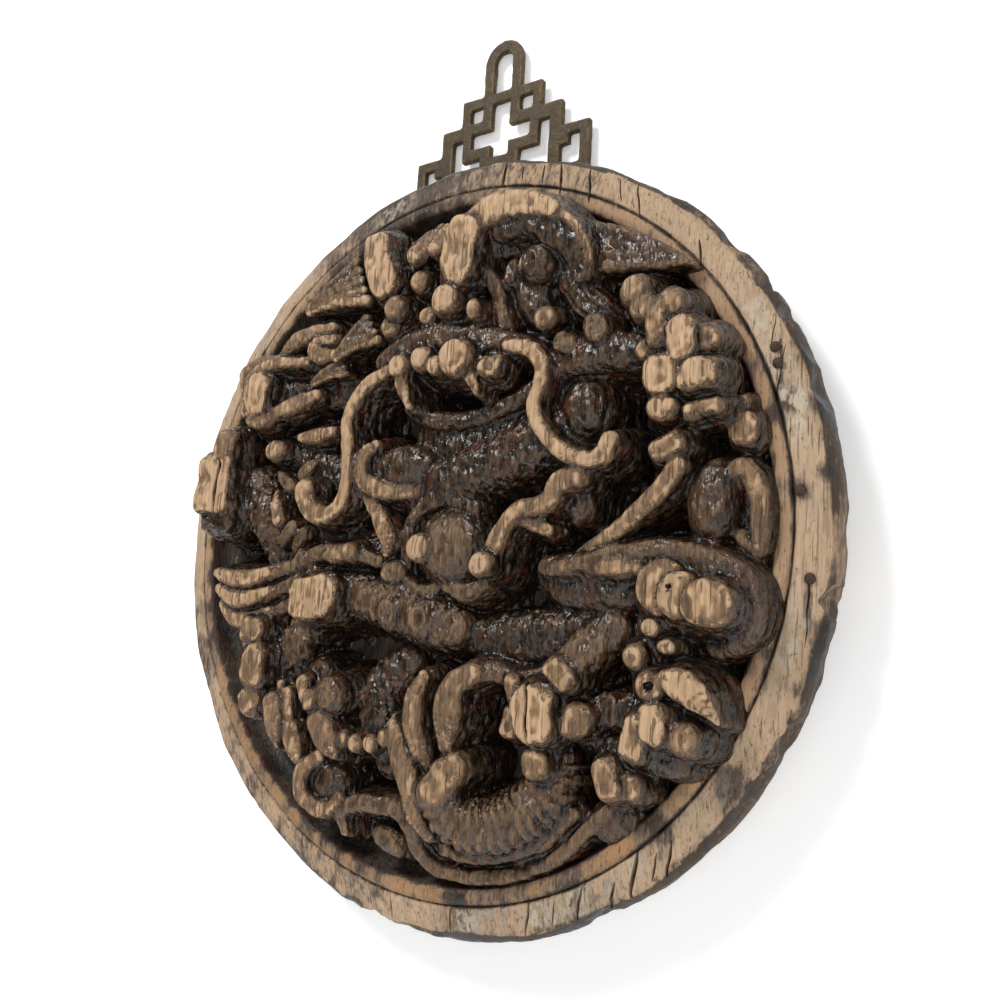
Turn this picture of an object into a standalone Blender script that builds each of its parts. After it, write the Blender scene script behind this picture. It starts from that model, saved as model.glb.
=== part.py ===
"""A round carved wood panel with a dragon in high relief, hung by an openwork metal hanger.

Metres, +Z up. The front faces -Y and the wall is behind, at +Y. The origin is in the crown of
the hanger's loop, where a hook takes the weight. The carving is laid out from the middle of
the disc: x to the right, z up, and height out of the front rim, in shares of the disc's radius.
"""

import math

import bmesh
import bpy
from mathutils import Matrix, Vector, noise

MM = 0.001
FIT = 0.3 * MM

# The board
DISC_RADIUS = 280 * MM
DISC_BULGE = 4 * MM
BULGE_DEPTH = 14.5 * MM
RIM_TO_BACK = 44 * MM
BACK_SETBACK = 12 * MM
BACK_ROUND = 8 * MM
RIM_BAND_WIDTH = 21.2 * MM
GROOVE_HEIGHT = 4 * MM
RIM_BAND_HEIGHT = 6.8 * MM
RIM_CREST_SHARE = 0.8
BEAD_WIDTH = 11.5 * MM
BEAD_HEIGHT = 8.6 * MM
GROUND_DEPTH = 11 * MM
RAGGED = 1.6 * MM
SPLIT_DEPTH = 14 * MM
BITE_REACH = 12 * MM
BITE_BACK = 17 * MM
RIM_STEPS = 66

# The hanger, with its heights over the top of the disc
PLATE_THICK = 6 * MM
LOOP_WIDTH = 37 * MM
LOOP_BAR = 10 * MM
CROWN_FACETS = 9
LOOP_RISE = 132 * MM
BAR = 9 * MM
TIER_WIDTHS = (79 * MM, 118 * MM, 169 * MM)
TIER_RISES = (87 * MM, 64.5 * MM, 42.5 * MM)
CROSS_RISE = 31 * MM
CROSS_ARM = 13 * MM
HOOK_GAP = 1 * MM
CORNER_DROP = 2 * MM
CORNER_NOTCH = 8 * MM
FOOT_WIDTH = 92 * MM
FOOT_OVERLAP = 54 * MM
HOUSING_CLEAR = 20 * MM

# The nails
NAIL_SIDES = 10
RIM_NAIL_HEAD = 8 * MM
RIM_NAIL_CROWN = 2.4 * MM
RIM_NAIL_SHANK = 3.2 * MM
RIM_NAIL_PROUD = 0.7 * MM
RIM_NAIL_LENGTH = 22 * MM
HANGER_NAIL_HEAD = 10 * MM
HANGER_NAIL_CROWN = 3 * MM
HANGER_NAIL_SHANK = 4 * MM
HANGER_NAIL_LENGTH = 26 * MM
FOOT_NAIL_INSET = 18 * MM

# The carving
RELIEF_GRAIN = 3.0 * MM
RELIEF_KEPT = 0.026
STRAND_SIDES = 3
BLOCK_SOFTNESS = 0.16

# One step of the layout, which draws the carving on a disc of radius 280
UNIT = DISC_RADIUS / 280

BACK_RADIUS = DISC_RADIUS - BACK_SETBACK
GROOVE_RADIUS = DISC_RADIUS - RIM_BAND_WIDTH
HANGER_FOOT = DISC_RADIUS
FOOT_BOTTOM = DISC_RADIUS - FOOT_OVERLAP
TIER_TOPS = tuple(DISC_RADIUS + rise for rise in TIER_RISES)
LOOP_TOP_OVER_DISC = DISC_RADIUS + LOOP_RISE
EYE_HALF = LOOP_WIDTH / 2 - LOOP_BAR
EYE_MIDDLE = LOOP_TOP_OVER_DISC - LOOP_WIDTH / 2
LOOP_CROWN_OVER_DISC = EYE_MIDDLE + EYE_HALF * math.cos(math.pi / (2 * CROWN_FACETS))
BACK_Y = PLATE_THICK / 2
FRONT_Y = BACK_Y - RIM_TO_BACK


def at(x, z, height):
    """A point of the layout, in the part's own frame."""
    return Vector((x * UNIT, FRONT_Y - height * UNIT, z * UNIT - LOOP_CROWN_OVER_DISC))


def clear_scene():
    for thing in list(bpy.data.objects):
        bpy.data.objects.remove(thing, do_unlink=True)
    for group in list(bpy.data.collections):
        bpy.data.collections.remove(group)


def new_collection(name):
    group = bpy.data.collections.new(name)
    bpy.context.scene.collection.children.link(group)
    return group


def material(name, colour, roughness, metallic=0.0):
    made = bpy.data.materials.new(name)
    made.use_nodes = True
    shader = made.node_tree.nodes["Principled BSDF"]
    shader.inputs["Base Color"].default_value = (*colour, 1.0)
    shader.inputs["Roughness"].default_value = roughness
    shader.inputs["Metallic"].default_value = metallic
    return made


def object_from(name, mesh, group, finish=None):
    made = bpy.data.objects.new(name, mesh)
    group.objects.link(made)
    if finish:
        mesh.materials.clear()
        mesh.materials.append(finish)
    return made


def as_helper(thing):
    thing.hide_render = True
    thing.display_type = "WIRE"
    return thing


def evaluated_mesh(thing):
    graph = bpy.context.evaluated_depsgraph_get()
    mesh = bpy.data.meshes.new_from_object(thing.evaluated_get(graph))
    mesh.transform(thing.matrix_world)
    return mesh


def boolean(thing, other, operation):
    cut = thing.modifiers.new(operation.title() + " " + other.name, "BOOLEAN")
    cut.operation = operation
    cut.object = other
    cut.solver = "EXACT"
    cut.use_self = operation == "DIFFERENCE"


def arc(centre, radius, start, end, steps):
    """Points on a circle, by angle in degrees, the end left out."""
    points = []
    for step in range(steps):
        angle = math.radians(start + (end - start) * step / steps)
        points.append((centre[0] + radius * math.cos(angle), centre[1] + radius * math.sin(angle)))
    return points


def turned(name, profile, group, steps):
    """A turned solid about Y from (radius, y) points, outer side first."""
    mesh = bpy.data.meshes.new(name)
    mesh.from_pydata([(r, y, 0) for r, y in profile], [(i, i + 1) for i in range(len(profile) - 1)], [])
    thing = object_from(name, mesh, group)
    turn = thing.modifiers.new("Turn", "SCREW")
    turn.axis = "Y"
    turn.steps = steps
    turn.render_steps = steps
    turn.use_merge_vertices = True
    turn.merge_threshold = 0.00001
    made = evaluated_mesh(thing)
    bpy.data.objects.remove(thing)
    cage = bmesh.new()
    cage.from_mesh(made)
    bmesh.ops.remove_doubles(cage, verts=cage.verts, dist=0.00001)
    bmesh.ops.recalc_face_normals(cage, faces=cage.faces)
    cage.to_mesh(made)
    cage.free()
    return object_from(name, made, group)


def ragged(point, about):
    """How far the worn outer edge stands in or out at a point of the disc."""
    angle = math.atan2(point.z - about.z, point.x - about.x)
    around = Vector((math.cos(angle), math.sin(angle), point.y / (30 * MM)))
    coarse = noise.noise(around * 3.1 + Vector((4.2, 0.7, 1.3)))
    fine = noise.noise(around * 11.0 + Vector((1.1, 5.2, 2.6)))
    return RAGGED * (1.2 * coarse + 0.9 * fine)


def make_board(group):
    """The disc: flat back, worn outer edge, raised band, groove, bead and the sunk ground."""
    bead_middle = GROOVE_RADIUS - BEAD_WIDTH / 2
    bead = [
        (bead_middle + BEAD_WIDTH / 2 * math.cos(math.radians(a)),
         -GROOVE_HEIGHT - (BEAD_HEIGHT - GROOVE_HEIGHT) * math.sin(math.radians(a)))
        for a in range(20, 161, 35)
    ]
    inner = GROOVE_RADIUS - BEAD_WIDTH
    profile = [
        (0, RIM_TO_BACK),
        (BACK_RADIUS * 0.5, RIM_TO_BACK),
        (BACK_RADIUS, RIM_TO_BACK),
        (BACK_RADIUS + BACK_ROUND * 0.7, RIM_TO_BACK - BACK_ROUND * 0.3),
        (BACK_RADIUS + BACK_ROUND, RIM_TO_BACK - BACK_ROUND),
        (DISC_RADIUS + DISC_BULGE, BULGE_DEPTH),
        (DISC_RADIUS + DISC_BULGE * 0.8, BULGE_DEPTH * 0.4),
        (DISC_RADIUS, 0),
        (GROOVE_RADIUS + 4 * MM, -RIM_BAND_HEIGHT),
        (GROOVE_RADIUS + 1 * MM, -GROOVE_HEIGHT),
        *bead,
        (inner - 1 * MM, -1 * MM),
        (inner - 5 * MM, GROUND_DEPTH - 2 * MM),
        (inner - 14 * MM, GROUND_DEPTH),
        (inner * 0.5, GROUND_DEPTH),
        (0, GROUND_DEPTH),
    ]
    board = turned("carved_panel", profile, group, RIM_STEPS)
    middle = at(0, 0, 0)
    board.data.transform(Matrix.Translation(middle))
    for vertex in board.data.vertices:
        out = vertex.co - Vector((middle.x, vertex.co.y, middle.z))
        if out.length > DISC_RADIUS - 1 * MM:
            vertex.co += out.normalized() * ragged(vertex.co, middle)
    return board


# Splits in the rim: x, z, length, width and lean in degrees, along the upright grain
SPLITS = (
    (38, 266, 26, 2.4, -4), (72, 259, 18, 1.8, -6), (88, 250, 34, 2.2, -8), (112, 240, 36, 2.4, -9),
    (150, 222, 34, 1.6, -12), (196, 176, 22, 2.0, -6),
    (91, -253, 28, 2.0, 12), (128, -237, 24, 2.0, 12), (150, -229, 22, 2.0, 14),
    (165, -212, 34, 3.0, 14), (187, -200, 26, 2.0, 12), (30, -266, 20, 1.6, 6),
)

# Bites out of the outer edge: bearing in degrees, half length along the edge, and depth
BITES = ((33, 9, 4), (28, 7, 3), (41, 12, 3), (17, 14, 3), (-9, 10, 4), (-26, 12, 3), (128, 16, 3),
         (152, 14, 4), (212, 18, 4), (231, 12, 3), (262, 16, 3), (300, 14, 4), (97, 12, 2))


def scoop(cage, middle, turn, half_sizes):
    """A pointed lens, which leaves a split or a bite where it is cut away."""
    size = Matrix.Diagonal((*(half * UNIT for half in half_sizes), 1))
    place = Matrix.Translation(middle) @ Matrix.Rotation(math.radians(turn), 4, "Y") @ size
    bmesh.ops.create_icosphere(cage, subdivisions=1, radius=1, matrix=place)


def make_cutters(group):
    """Lenses for the splits and the bites, as one mesh."""
    cage = bmesh.new()
    for x, z, length, width, lean in SPLITS:
        scoop(cage, at(x, z, 2), lean, (width / 2, SPLIT_DEPTH / UNIT, length / 2))
    for bearing, half, depth in BITES:
        angle = math.radians(bearing)
        reach = (DISC_RADIUS + BITE_REACH) / UNIT
        middle = at(reach * math.cos(angle), reach * math.sin(angle), 0)
        scoop(cage, middle, -bearing, (BITE_REACH / UNIT + depth, BITE_BACK / UNIT, half))
    bmesh.ops.recalc_face_normals(cage, faces=cage.faces)
    mesh = bpy.data.meshes.new("Splits and bites")
    cage.to_mesh(mesh)
    cage.free()
    return as_helper(object_from("Splits and bites", mesh, group))


class Carving:
    """Gathers the carved forms, each one solid down to the ground, into one mesh."""

    def __init__(self):
        self.cage = bmesh.new()
        self.foot = at(0, 0, -GROUND_DEPTH / UNIT - 3).y

    def take(self, mesh):
        """Keeps what faces out and carries it straight back into the ground."""
        form = bmesh.new()
        form.from_mesh(mesh)
        bmesh.ops.remove_doubles(form, verts=form.verts, dist=0.0001)
        bmesh.ops.recalc_face_normals(form, faces=form.faces)
        form.normal_update()
        away = [face for face in form.faces if face.normal.y > -0.02]
        bmesh.ops.delete(form, geom=away, context="FACES")
        sunk = bmesh.ops.extrude_face_region(form, geom=form.faces[:], use_keep_orig=True)
        for item in sunk["geom"]:
            if isinstance(item, bmesh.types.BMVert):
                item.co.y = self.foot
        bmesh.ops.recalc_face_normals(form, faces=form.faces)
        rooted = bpy.data.meshes.new("form")
        form.to_mesh(rooted)
        form.free()
        self.cage.from_mesh(rooted)
        bpy.data.meshes.remove(rooted)

    def strand(self, *points):
        """A rounded strand through (x, z, top, half width)."""
        curve = bpy.data.curves.new("strand", "CURVE")
        curve.dimensions = "3D"
        curve.bevel_depth = 1.0
        curve.bevel_resolution = STRAND_SIDES
        curve.use_fill_caps = True
        curve.resolution_u = 5
        spline = curve.splines.new("BEZIER")
        spline.bezier_points.add(len(points) - 1)
        for knot, (x, z, top, half) in zip(spline.bezier_points, points):
            knot.co = at(x, z, top - half)
            knot.radius = half * UNIT
            knot.handle_left_type = "AUTO"
            knot.handle_right_type = "AUTO"
        thing = bpy.data.objects.new("strand", curve)
        bpy.context.scene.collection.objects.link(thing)
        mesh = evaluated_mesh(thing)
        bpy.data.objects.remove(thing)
        bpy.data.curves.remove(curve)
        self.take(mesh)
        bpy.data.meshes.remove(mesh)
        for x, z, top, half in (points[0], points[-1]):
            self.lump(x, z, top, half, half)

    def lump(self, x, z, top, across, along, turn=0, dome=None):
        """A rounded lump of the given half sizes, turned about its own middle."""
        rise = dome or min(across, along)
        form = bmesh.new()
        place = (Matrix.Translation(at(x, z, top - rise)) @ Matrix.Rotation(math.radians(-turn), 4, "Y")
                 @ Matrix.Diagonal((across * UNIT, rise * UNIT, along * UNIT, 1)))
        bmesh.ops.create_uvsphere(form, u_segments=14, v_segments=8, radius=1, matrix=place)
        mesh = bpy.data.meshes.new("lump")
        form.to_mesh(mesh)
        form.free()
        self.take(mesh)
        bpy.data.meshes.remove(mesh)

    def block(self, x, z, top, width, length, turn=0, taper=1.0):
        """A block with a worn flat face and softened corners, narrower at its lower end by taper."""
        form = bmesh.new()
        bmesh.ops.create_cube(form, size=1)
        deep = top + GROUND_DEPTH / UNIT
        for vertex in form.verts:
            if vertex.co.z < 0:
                vertex.co.x *= taper
        place = (Matrix.Translation(at(x, z, top - deep / 2)) @ Matrix.Rotation(math.radians(-turn), 4, "Y")
                 @ Matrix.Diagonal((width * UNIT, deep * UNIT, length * UNIT, 1)))
        form.transform(place)
        bmesh.ops.bevel(form, geom=form.edges[:], offset=min(width, length) * BLOCK_SOFTNESS * UNIT,
                        segments=2, profile=0.6, affect="EDGES", clamp_overlap=True)
        mesh = bpy.data.meshes.new("block")
        form.to_mesh(mesh)
        form.free()
        self.take(mesh)
        bpy.data.meshes.remove(mesh)

    def finish(self, group):
        """All the forms run together and thinned to a light faceted solid."""
        mesh = bpy.data.meshes.new("Relief")
        self.cage.to_mesh(mesh)
        self.cage.free()
        thing = object_from("Relief", mesh, group)
        fuse = thing.modifiers.new("Run together", "REMESH")
        fuse.mode = "VOXEL"
        fuse.voxel_size = RELIEF_GRAIN
        thin = thing.modifiers.new("Thin", "DECIMATE")
        thin.ratio = RELIEF_KEPT
        return as_helper(thing)


def carve_ground(form):
    """A low bed under all the forms, which ties them into one."""
    form.lump(0, 0, -6, 236, 236, dome=4)


def carve_brow(form):
    """The horn slab, the curled brow bulbs and the great arch of the right brow."""
    form.block(-43, 196, 48, 27, 49, 12)
    form.strand((-62, 226, 26, 5), (-56, 200, 30, 6), (-44, 172, 32, 5))
    form.strand((-13, 200, 44, 9), (-4, 211, 38, 7), (4, 222, 28, 5))
    form.strand((8, 202, 46, 9), (14, 213, 40, 8), (24, 222, 30, 6))
    form.strand((-30, 212, 26, 6), (-16, 218, 28, 6), (-4, 224, 26, 5))
    for x, z, top, half in ((-8, 179, 44, 9), (-26, 160, 48, 11), (-3, 153, 38, 8), (21, 159, 50, 14)):
        form.lump(x, z, top, half, half)
    form.lump(-36, 149, 40, 11, 10)
    form.lump(43, 150, 44, 6, 8)
    form.block(32, 193, 50, 33, 46, -6)
    form.strand((38, 212, 48, 10), (58, 218, 47, 11), (86, 213, 45, 11), (108, 202, 42, 10),
                (121, 187, 37, 9), (126, 170, 30, 7))
    form.strand((54, 196, 30, 8), (74, 199, 30, 8), (96, 188, 28, 8), (104, 170, 22, 7))
    form.lump(78, 168, 26, 17, 30, 8)
    form.strand((52, 176, 30, 6), (56, 160, 30, 6), (60, 140, 28, 6))
    form.lump(97, 139, 36, 9, 9)
    form.strand((110, 165, 24, 12), (125, 148, 22, 14), (146, 132, 18, 9))


def carve_mouth(form):
    """The upper lip's row of knobs, the fangs and the lower jaw."""
    form.strand((-44, 124, 34, 10), (-20, 134, 36, 12), (12, 136, 38, 12), (46, 130, 36, 11),
                (78, 122, 32, 9))
    for x, z, top, half in ((-21, 116, 46, 10), (0, 119, 46, 10), (12, 113, 44, 8), (34, 115, 50, 15)):
        form.lump(x, z, top, half, half)
    form.block(59, 108, 42, 18, 14)
    form.strand((-19, 104, 42, 6), (-15, 95, 42, 5), (-11, 86, 40, 3))
    form.strand((44, 101, 42, 5), (47, 92, 38, 3))
    form.strand((-22, 88, 28, 5), (-8, 80, 30, 6), (17, 76, 30, 7), (43, 78, 30, 7), (70, 86, 30, 6),
                (87, 96, 28, 5))
    form.strand((-10, 66, 18, 12), (30, 60, 20, 14), (75, 70, 18, 13))


def carve_whiskers(form):
    """The two long whiskers and the hooked lock of the beard."""
    form.strand((-34, 115, 40, 5), (-52, 107, 40, 6), (-63, 96, 41, 6), (-69, 80, 42, 6.5),
                (-67, 60, 42, 6), (-66, 40, 42, 5.5), (-68, 24, 41, 5.5), (-76, 13, 40, 6),
                (-90, 9, 39, 6), (-105, 11, 38, 6), (-113, 20, 38, 6))
    form.lump(-112, 23, 42, 11, 10)
    form.strand((70, 122, 36, 5), (88, 118, 38, 6), (98, 108, 40, 6), (101, 95, 41, 6),
                (97, 80, 42, 6.5), (99, 68, 42, 6), (106, 57, 42, 6), (116, 47, 41, 6),
                (128, 41, 40, 6), (140, 39, 39, 6.5), (148, 43, 39, 7), (152, 50, 40, 7))
    form.strand((-36, 58, 34, 7), (-52, 54, 38, 8), (-56, 42, 39, 8), (-52, 33, 38, 8),
                (-38, 27, 36, 8), (-22, 25, 32, 7), (-6, 27, 26, 6))
    form.strand((-58, 28, 30, 5), (-48, 17, 32, 6), (-39, 7, 34, 7), (-32, -2, 36, 8),
                (-29, -10, 34, 7), (-31, -20, 30, 3))


def carve_pearl(form):
    """The pearl in its ring of cloud, and the twisted flame beside it."""
    form.lump(26, -15, 32, 35, 31, dome=20)
    form.lump(7, -17, 43, 12, 12)
    form.strand((-12, -40, 27, 4), (-3, -47, 29, 6), (8, -47, 29, 6), (17, -41, 26, 4))
    form.strand((26, -43, 30, 5), (44, -47, 33, 7), (58, -41, 32, 5))
    form.strand((-14, -28, 26, 5), (-14, -4, 28, 6), (-4, 12, 28, 6), (18, 19, 28, 6), (42, 12, 28, 6))
    form.strand((129, 29, 38, 9), (116, 25, 38, 9), (109, 15, 36, 8), (98, 10, 36, 7), (86, 8, 37, 7),
                (77, 0, 37, 7), (69, -10, 36, 8), (64, -20, 34, 8))
    form.strand((84, 4, 34, 5), (94, 0, 32, 5), (105, -4, 30, 5))
    form.lump(61, -28, 43, 10, 10)
    form.lump(124, 14, 26, 12, 16)


def carve_body(form):
    """The coils of the body, from the shoulder round to the blunt loop below."""
    form.strand((-14, 22, 24, 14), (18, 33, 30, 19), (53, 43, 31, 21), (88, 55, 30, 21), (122, 70, 27, 18))
    form.lump(126, 76, 30, 21, 25)
    form.strand((-78, -44, 28, 14), (-50, -52, 32, 18), (-14, -60, 33, 19), (16, -68, 32, 19),
                (32, -70, 28, 15))
    form.strand((46, -76, 18, 16), (86, -75, 22, 19), (128, -71, 22, 19), (152, -66, 18, 14))
    form.strand((37, -168, 41, 15), (31, -182, 38, 18), (42, -195, 36, 18), (60, -199, 34, 18),
                (80, -194, 32, 18), (97, -183, 30, 18), (110, -168, 26, 17), (114, -150, 20, 14))
    form.strand((-18, -98, 16, 16), (-36, -118, 22, 19), (-36, -140, 24, 19), (-24, -164, 20, 18))
    form.strand((-192, 40, 20, 18), (-180, 20, 24, 21), (-166, 2, 24, 20), (-158, -18, 18, 15))
    form.strand((-110, -70, 22, 14), (-122, -86, 26, 17), (-130, -104, 22, 15))
    form.strand((-150, 60, 14, 12), (-120, 52, 18, 16), (-92, 40, 18, 18))
    form.strand((-100, -8, 16, 16), (-70, -12, 18, 16), (-44, -22, 20, 14))
    form.strand((120, -122, 18, 14), (150, -116, 26, 12), (172, -116, 28, 12))


def carve_fins(form):
    """Fins, waves and the leaves that edge the body."""
    form.strand((14, -102, 28, 4), (11, -120, 32, 8), (13, -140, 32, 8), (18, -162, 28, 4))
    form.strand((104, -94, 26, 4), (76, -94, 30, 6), (56, -98, 33, 7), (42, -110, 34, 8), (35, -128, 34, 8),
                (32, -148, 30, 5))
    form.strand((-14, -148, 26, 6), (-2, -162, 28, 8), (6, -180, 28, 8), (14, -196, 26, 6), (26, -208, 20, 5))
    form.strand((-50, -206, 22, 6), (-34, -202, 24, 6), (-4, -206, 22, 6), (8, -214, 20, 6), (14, -230, 14, 5))
    form.strand((-32, -216, 14, 6), (-14, -220, 16, 7), (2, -226, 14, 6))
    form.strand((34, -220, 12, 5), (70, -217, 14, 5), (104, -203, 16, 5), (126, -182, 18, 5))
    form.strand((26, -232, 10, 4), (70, -229, 10, 4), (110, -214, 12, 4), (134, -192, 14, 4))
    for step, top in enumerate((36, 34, 30)):
        drop = 16 * step
        form.strand((-206 + 2 * step, -38 - drop * 0.7, top, 3), (-184, -40 - drop, top, 6),
                    (-160, -40 - drop, top, 6), (-136, -33 - drop * 0.9, top - 2, 6),
                    (-112, -27 - drop * 0.7, top - 4, 5))
    form.strand((-116, -24, 32, 6), (-88, -20, 34, 7), (-62, -20, 32, 6), (-40, -26, 30, 5))
    form.strand((-118, -20, 30, 4), (-100, -34, 32, 5), (-84, -38, 32, 4))
    form.lump(-24, -34, 32, 13, 10)
    form.strand((-130, 38, 26, 5), (-146, 24, 28, 8), (-150, 6, 26, 7), (-138, -6, 22, 4))
    form.strand((-122, 6, 24, 4), (-134, 14, 26, 6), (-140, 4, 24, 5))
    form.strand((-134, 74, 26, 4), (-118, 73, 28, 7), (-100, 76, 26, 4))
    form.strand((196, 34, 34, 6), (186, 20, 34, 7), (172, 8, 32, 7), (150, -8, 28, 6), (128, -20, 24, 5))
    form.lump(214, 12, 28, 17, 28, -4)
    form.strand((112, -30, 32, 5), (135, -26, 34, 6), (165, -19, 36, 6), (190, -17, 36, 6),
                (218, -22, 34, 6), (238, -32, 30, 5))
    form.lump(130, -38, 24, 36, 12, -4)
    form.lump(160, -192, 22, 24, 17, 24)


def carve_mane(form):
    """Locks of the mane: each a fan of strands drawn to one tip."""
    fans = (
        ((-132, 179, 30), ((-82, 210, 30), (-80, 200, 32), (-76, 190, 32), (-72, 180, 30)), 5.0),
        ((-96, 134, 32), ((-66, 160, 32), (-60, 153, 32), (-62, 144, 30)), 5.5),
        ((-126, 117, 26), ((-94, 131, 28), (-92, 124, 26)), 4.5),
        ((196, 166, 22), ((124, 200, 24), (126, 188, 26), (130, 176, 24)), 6.0),
    )
    for (tip_x, tip_z, tip_top), roots, half in fans:
        for x, z, top in roots:
            middle = ((x + tip_x) / 2, (z + tip_z) / 2 + 0.06 * abs(x - tip_x), (top + tip_top) / 2 + 3)
            form.strand((x, z, top, half), (*middle, half), (tip_x, tip_z, tip_top, half * 0.4))
    form.strand((-164, 142, 26, 5), (-148, 153, 30, 8), (-130, 160, 28, 7), (-112, 163, 24, 5))
    form.strand((-104, 138, 28, 6), (-120, 140, 32, 8), (-122, 150, 30, 6), (-108, 152, 26, 5))


def carve_upper_left_foot(form):
    """The long claw on the rim, the square toe and the toes that end at the left edge."""
    form.strand((-192, 134, 34, 6), (-178, 137, 36, 8), (-160, 137, 34, 6))
    form.strand((-184, 124, 40, 5), (-168, 132, 41, 6), (-148, 134, 38, 5), (-128, 134, 32, 4))
    form.block(-174, 110, 41, 32, 36, -4, 0.8)
    form.block(-192, 124, 36, 15, 24, 10)
    form.block(-197, 104, 28, 16, 18)
    form.strand((-184, 90, 36, 7), (-168, 90, 38, 9), (-156, 94, 34, 6))
    form.strand((-154, 94, 34, 6), (-140, 98, 36, 8), (-118, 106, 30, 5))
    form.block(-214, 41, 41, 34, 44, 0)
    form.block(-208, 72, 38, 24, 22, 6)
    form.lump(-156, 63, 34, 13, 9)
    form.strand((-88, 112, 12, 12), (-124, 110, 18, 15), (-150, 112, 26, 14))
    form.strand((-196, 12, 24, 8), (-214, 12, 28, 9), (-222, 4, 24, 6))


def carve_upper_right_foot(form):
    """The foreleg at the right and its knuckles."""
    form.strand((106, 108, 30, 12), (130, 111, 34, 14), (156, 111, 32, 13), (176, 108, 30, 10))
    form.block(138, 126, 38, 16, 18, 10)
    form.block(114, 119, 36, 14, 12, -10)
    form.lump(172, 108, 36, 7, 8)
    for x, z, top, half in ((166, 146, 42, 12), (173, 134, 42, 11), (190, 134, 40, 12)):
        form.lump(x, z, top, half, half)
    form.block(183, 122, 41, 12, 30, -6)
    form.block(199, 110, 43, 18, 26, 4)
    form.block(214, 110, 38, 14, 16, 20)
    form.block(187, 89, 43, 21, 24)
    form.block(210, 87, 42, 25, 17, 8)
    form.lump(187, 69, 41, 11, 9)
    form.block(212, 67, 36, 24, 9, 6)
    form.block(190, 45, 36, 22, 12, 24)
    form.block(232, 56, 22, 18, 20)
    form.block(228, 72, 18, 14, 10)
    form.strand((222, 28, 22, 7), (234, 31, 22, 8), (242, 16, 21, 7), (243, -2, 20, 7),
                (240, -16, 18, 6), (230, -8, 16, 5))


def carve_right_leg(form):
    """The round joint at the right: an oval band about a ring and a flat boss."""
    form.lump(207, -40, 34, 34, 21, -10, dome=8)
    form.strand((180, -30, 40, 6), (178, -44, 41, 6), (190, -55, 40, 6), (210, -60, 36, 5))
    form.strand((182, -27, 40, 6), (205, -25, 39, 6), (228, -30, 34, 5))
    form.lump(197, -41, 42, 11, 11)
    form.lump(222, -47, 44, 16, 15, dome=8)
    form.lump(132, -38, 26, 34, 13, -4)
    form.strand((150, -28, 36, 5), (162, -28, 38, 6), (174, -28, 36, 5))


def carve_lower_right_foot(form):
    """The hind leg at the lower right, its square knee and the clawed foot."""
    form.strand((152, -66, 26, 14), (138, -78, 32, 15), (126, -92, 36, 14))
    form.block(124, -95, 40, 22, 15, -36)
    form.block(108, -122, 44, 33, 36, 8, 0.85)
    form.block(136, -123, 36, 17, 20, -20)
    form.block(86, -129, 32, 13, 20, -16)
    form.block(88, -108, 34, 10, 18, 8)
    form.block(107, -153, 34, 17, 18, 4)
    form.lump(187, -97, 42, 12, 12)
    form.strand((198, -96, 42, 7), (210, -100, 42, 9), (222, -108, 38, 5), (224, -118, 32, 3))
    form.block(175, -129, 42, 15, 26, -8)
    form.block(189, -120, 44, 18, 20, 8)
    form.block(206, -126, 40, 20, 18, -14)
    form.block(161, -153, 34, 18, 22, 12)
    form.block(174, -158, 30, 17, 14, -12)
    for x, z, top, across, along in ((182, -64, 34, 7, 6), (193, -75, 34, 7, 5), (173, -82, 36, 9, 9)):
        form.lump(x, z, top, across, along)
    form.strand((176, -60, 24, 8), (176, -84, 26, 10), (178, -104, 28, 10))
    form.strand((150, -140, 22, 10), (165, -140, 24, 10), (185, -140, 26, 8))


def carve_lower_left_foot(form):
    """The beaded foot at the lower left."""
    toes = (
        (-157, -79, 38, 27, 16, 4), (-149, -108, 42, 26, 37, 12), (-151, -135, 38, 20, 21, 20),
        (-129, -151, 40, 21, 29, 16), (-106, -140, 36, 17, 20, 0), (-99, -163, 38, 27, 20, -34),
        (-75, -152, 40, 29, 27, 20), (-121, -127, 32, 10, 13, -30), (-89, -129, 38, 16, 17, 10),
        (-74, -128, 32, 13, 12, 0), (-86, -113, 30, 11, 10, 0),
    )
    for x, z, top, width, length, turn in toes:
        form.block(x, z, top, width, length, turn)
    form.lump(-71, -194, 34, 23, 18, -24, dome=10)
    for x, z in ((-52, -154), (-38, -156), (-24, -153)):
        form.lump(x, z, 32, 7, 6)
    form.block(-96, -53, 44, 48, 29, 6)
    form.strand((-120, -150, 16, 14), (-110, -130, 20, 16), (-100, -112, 20, 14))
    form.strand((-140, -92, 16, 12), (-120, -112, 18, 14), (-90, -140, 20, 18))


def make_relief(group):
    form = Carving()
    carve_ground(form)
    carve_brow(form)
    carve_mouth(form)
    carve_whiskers(form)
    carve_pearl(form)
    carve_body(form)
    carve_fins(form)
    carve_mane(form)
    carve_upper_left_foot(form)
    carve_upper_right_foot(form)
    carve_right_leg(form)
    carve_lower_right_foot(form)
    carve_lower_left_foot(form)
    return form.finish(group)


def rectangle(x0, x1, z0, z1):
    return [(x0, z0), (x1, z0), (x1, z1), (x0, z1)]


def hanger_outline():
    """The stepped outline with its loop, round from the loop's right side, in metres over the disc."""
    tiers = [width / 2 for width in TIER_WIDTHS]
    half_loop = LOOP_WIDTH / 2
    right = [(half_loop, TIER_TOPS[0])]
    for half, top, below in zip(tiers, TIER_TOPS, (*TIER_TOPS[1:], HANGER_FOOT - CORNER_DROP)):
        right += [(half, top), (half, below)]
    right += [(FOOT_WIDTH / 2, HANGER_FOOT), (FOOT_WIDTH / 2, FOOT_BOTTOM)]
    left = [(-x, z) for x, z in reversed(right)]
    crown = arc((0, LOOP_TOP_OVER_DISC - half_loop), half_loop, 180, 0, 17)
    return right + left + crown + [(half_loop, LOOP_TOP_OVER_DISC - half_loop)]


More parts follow.
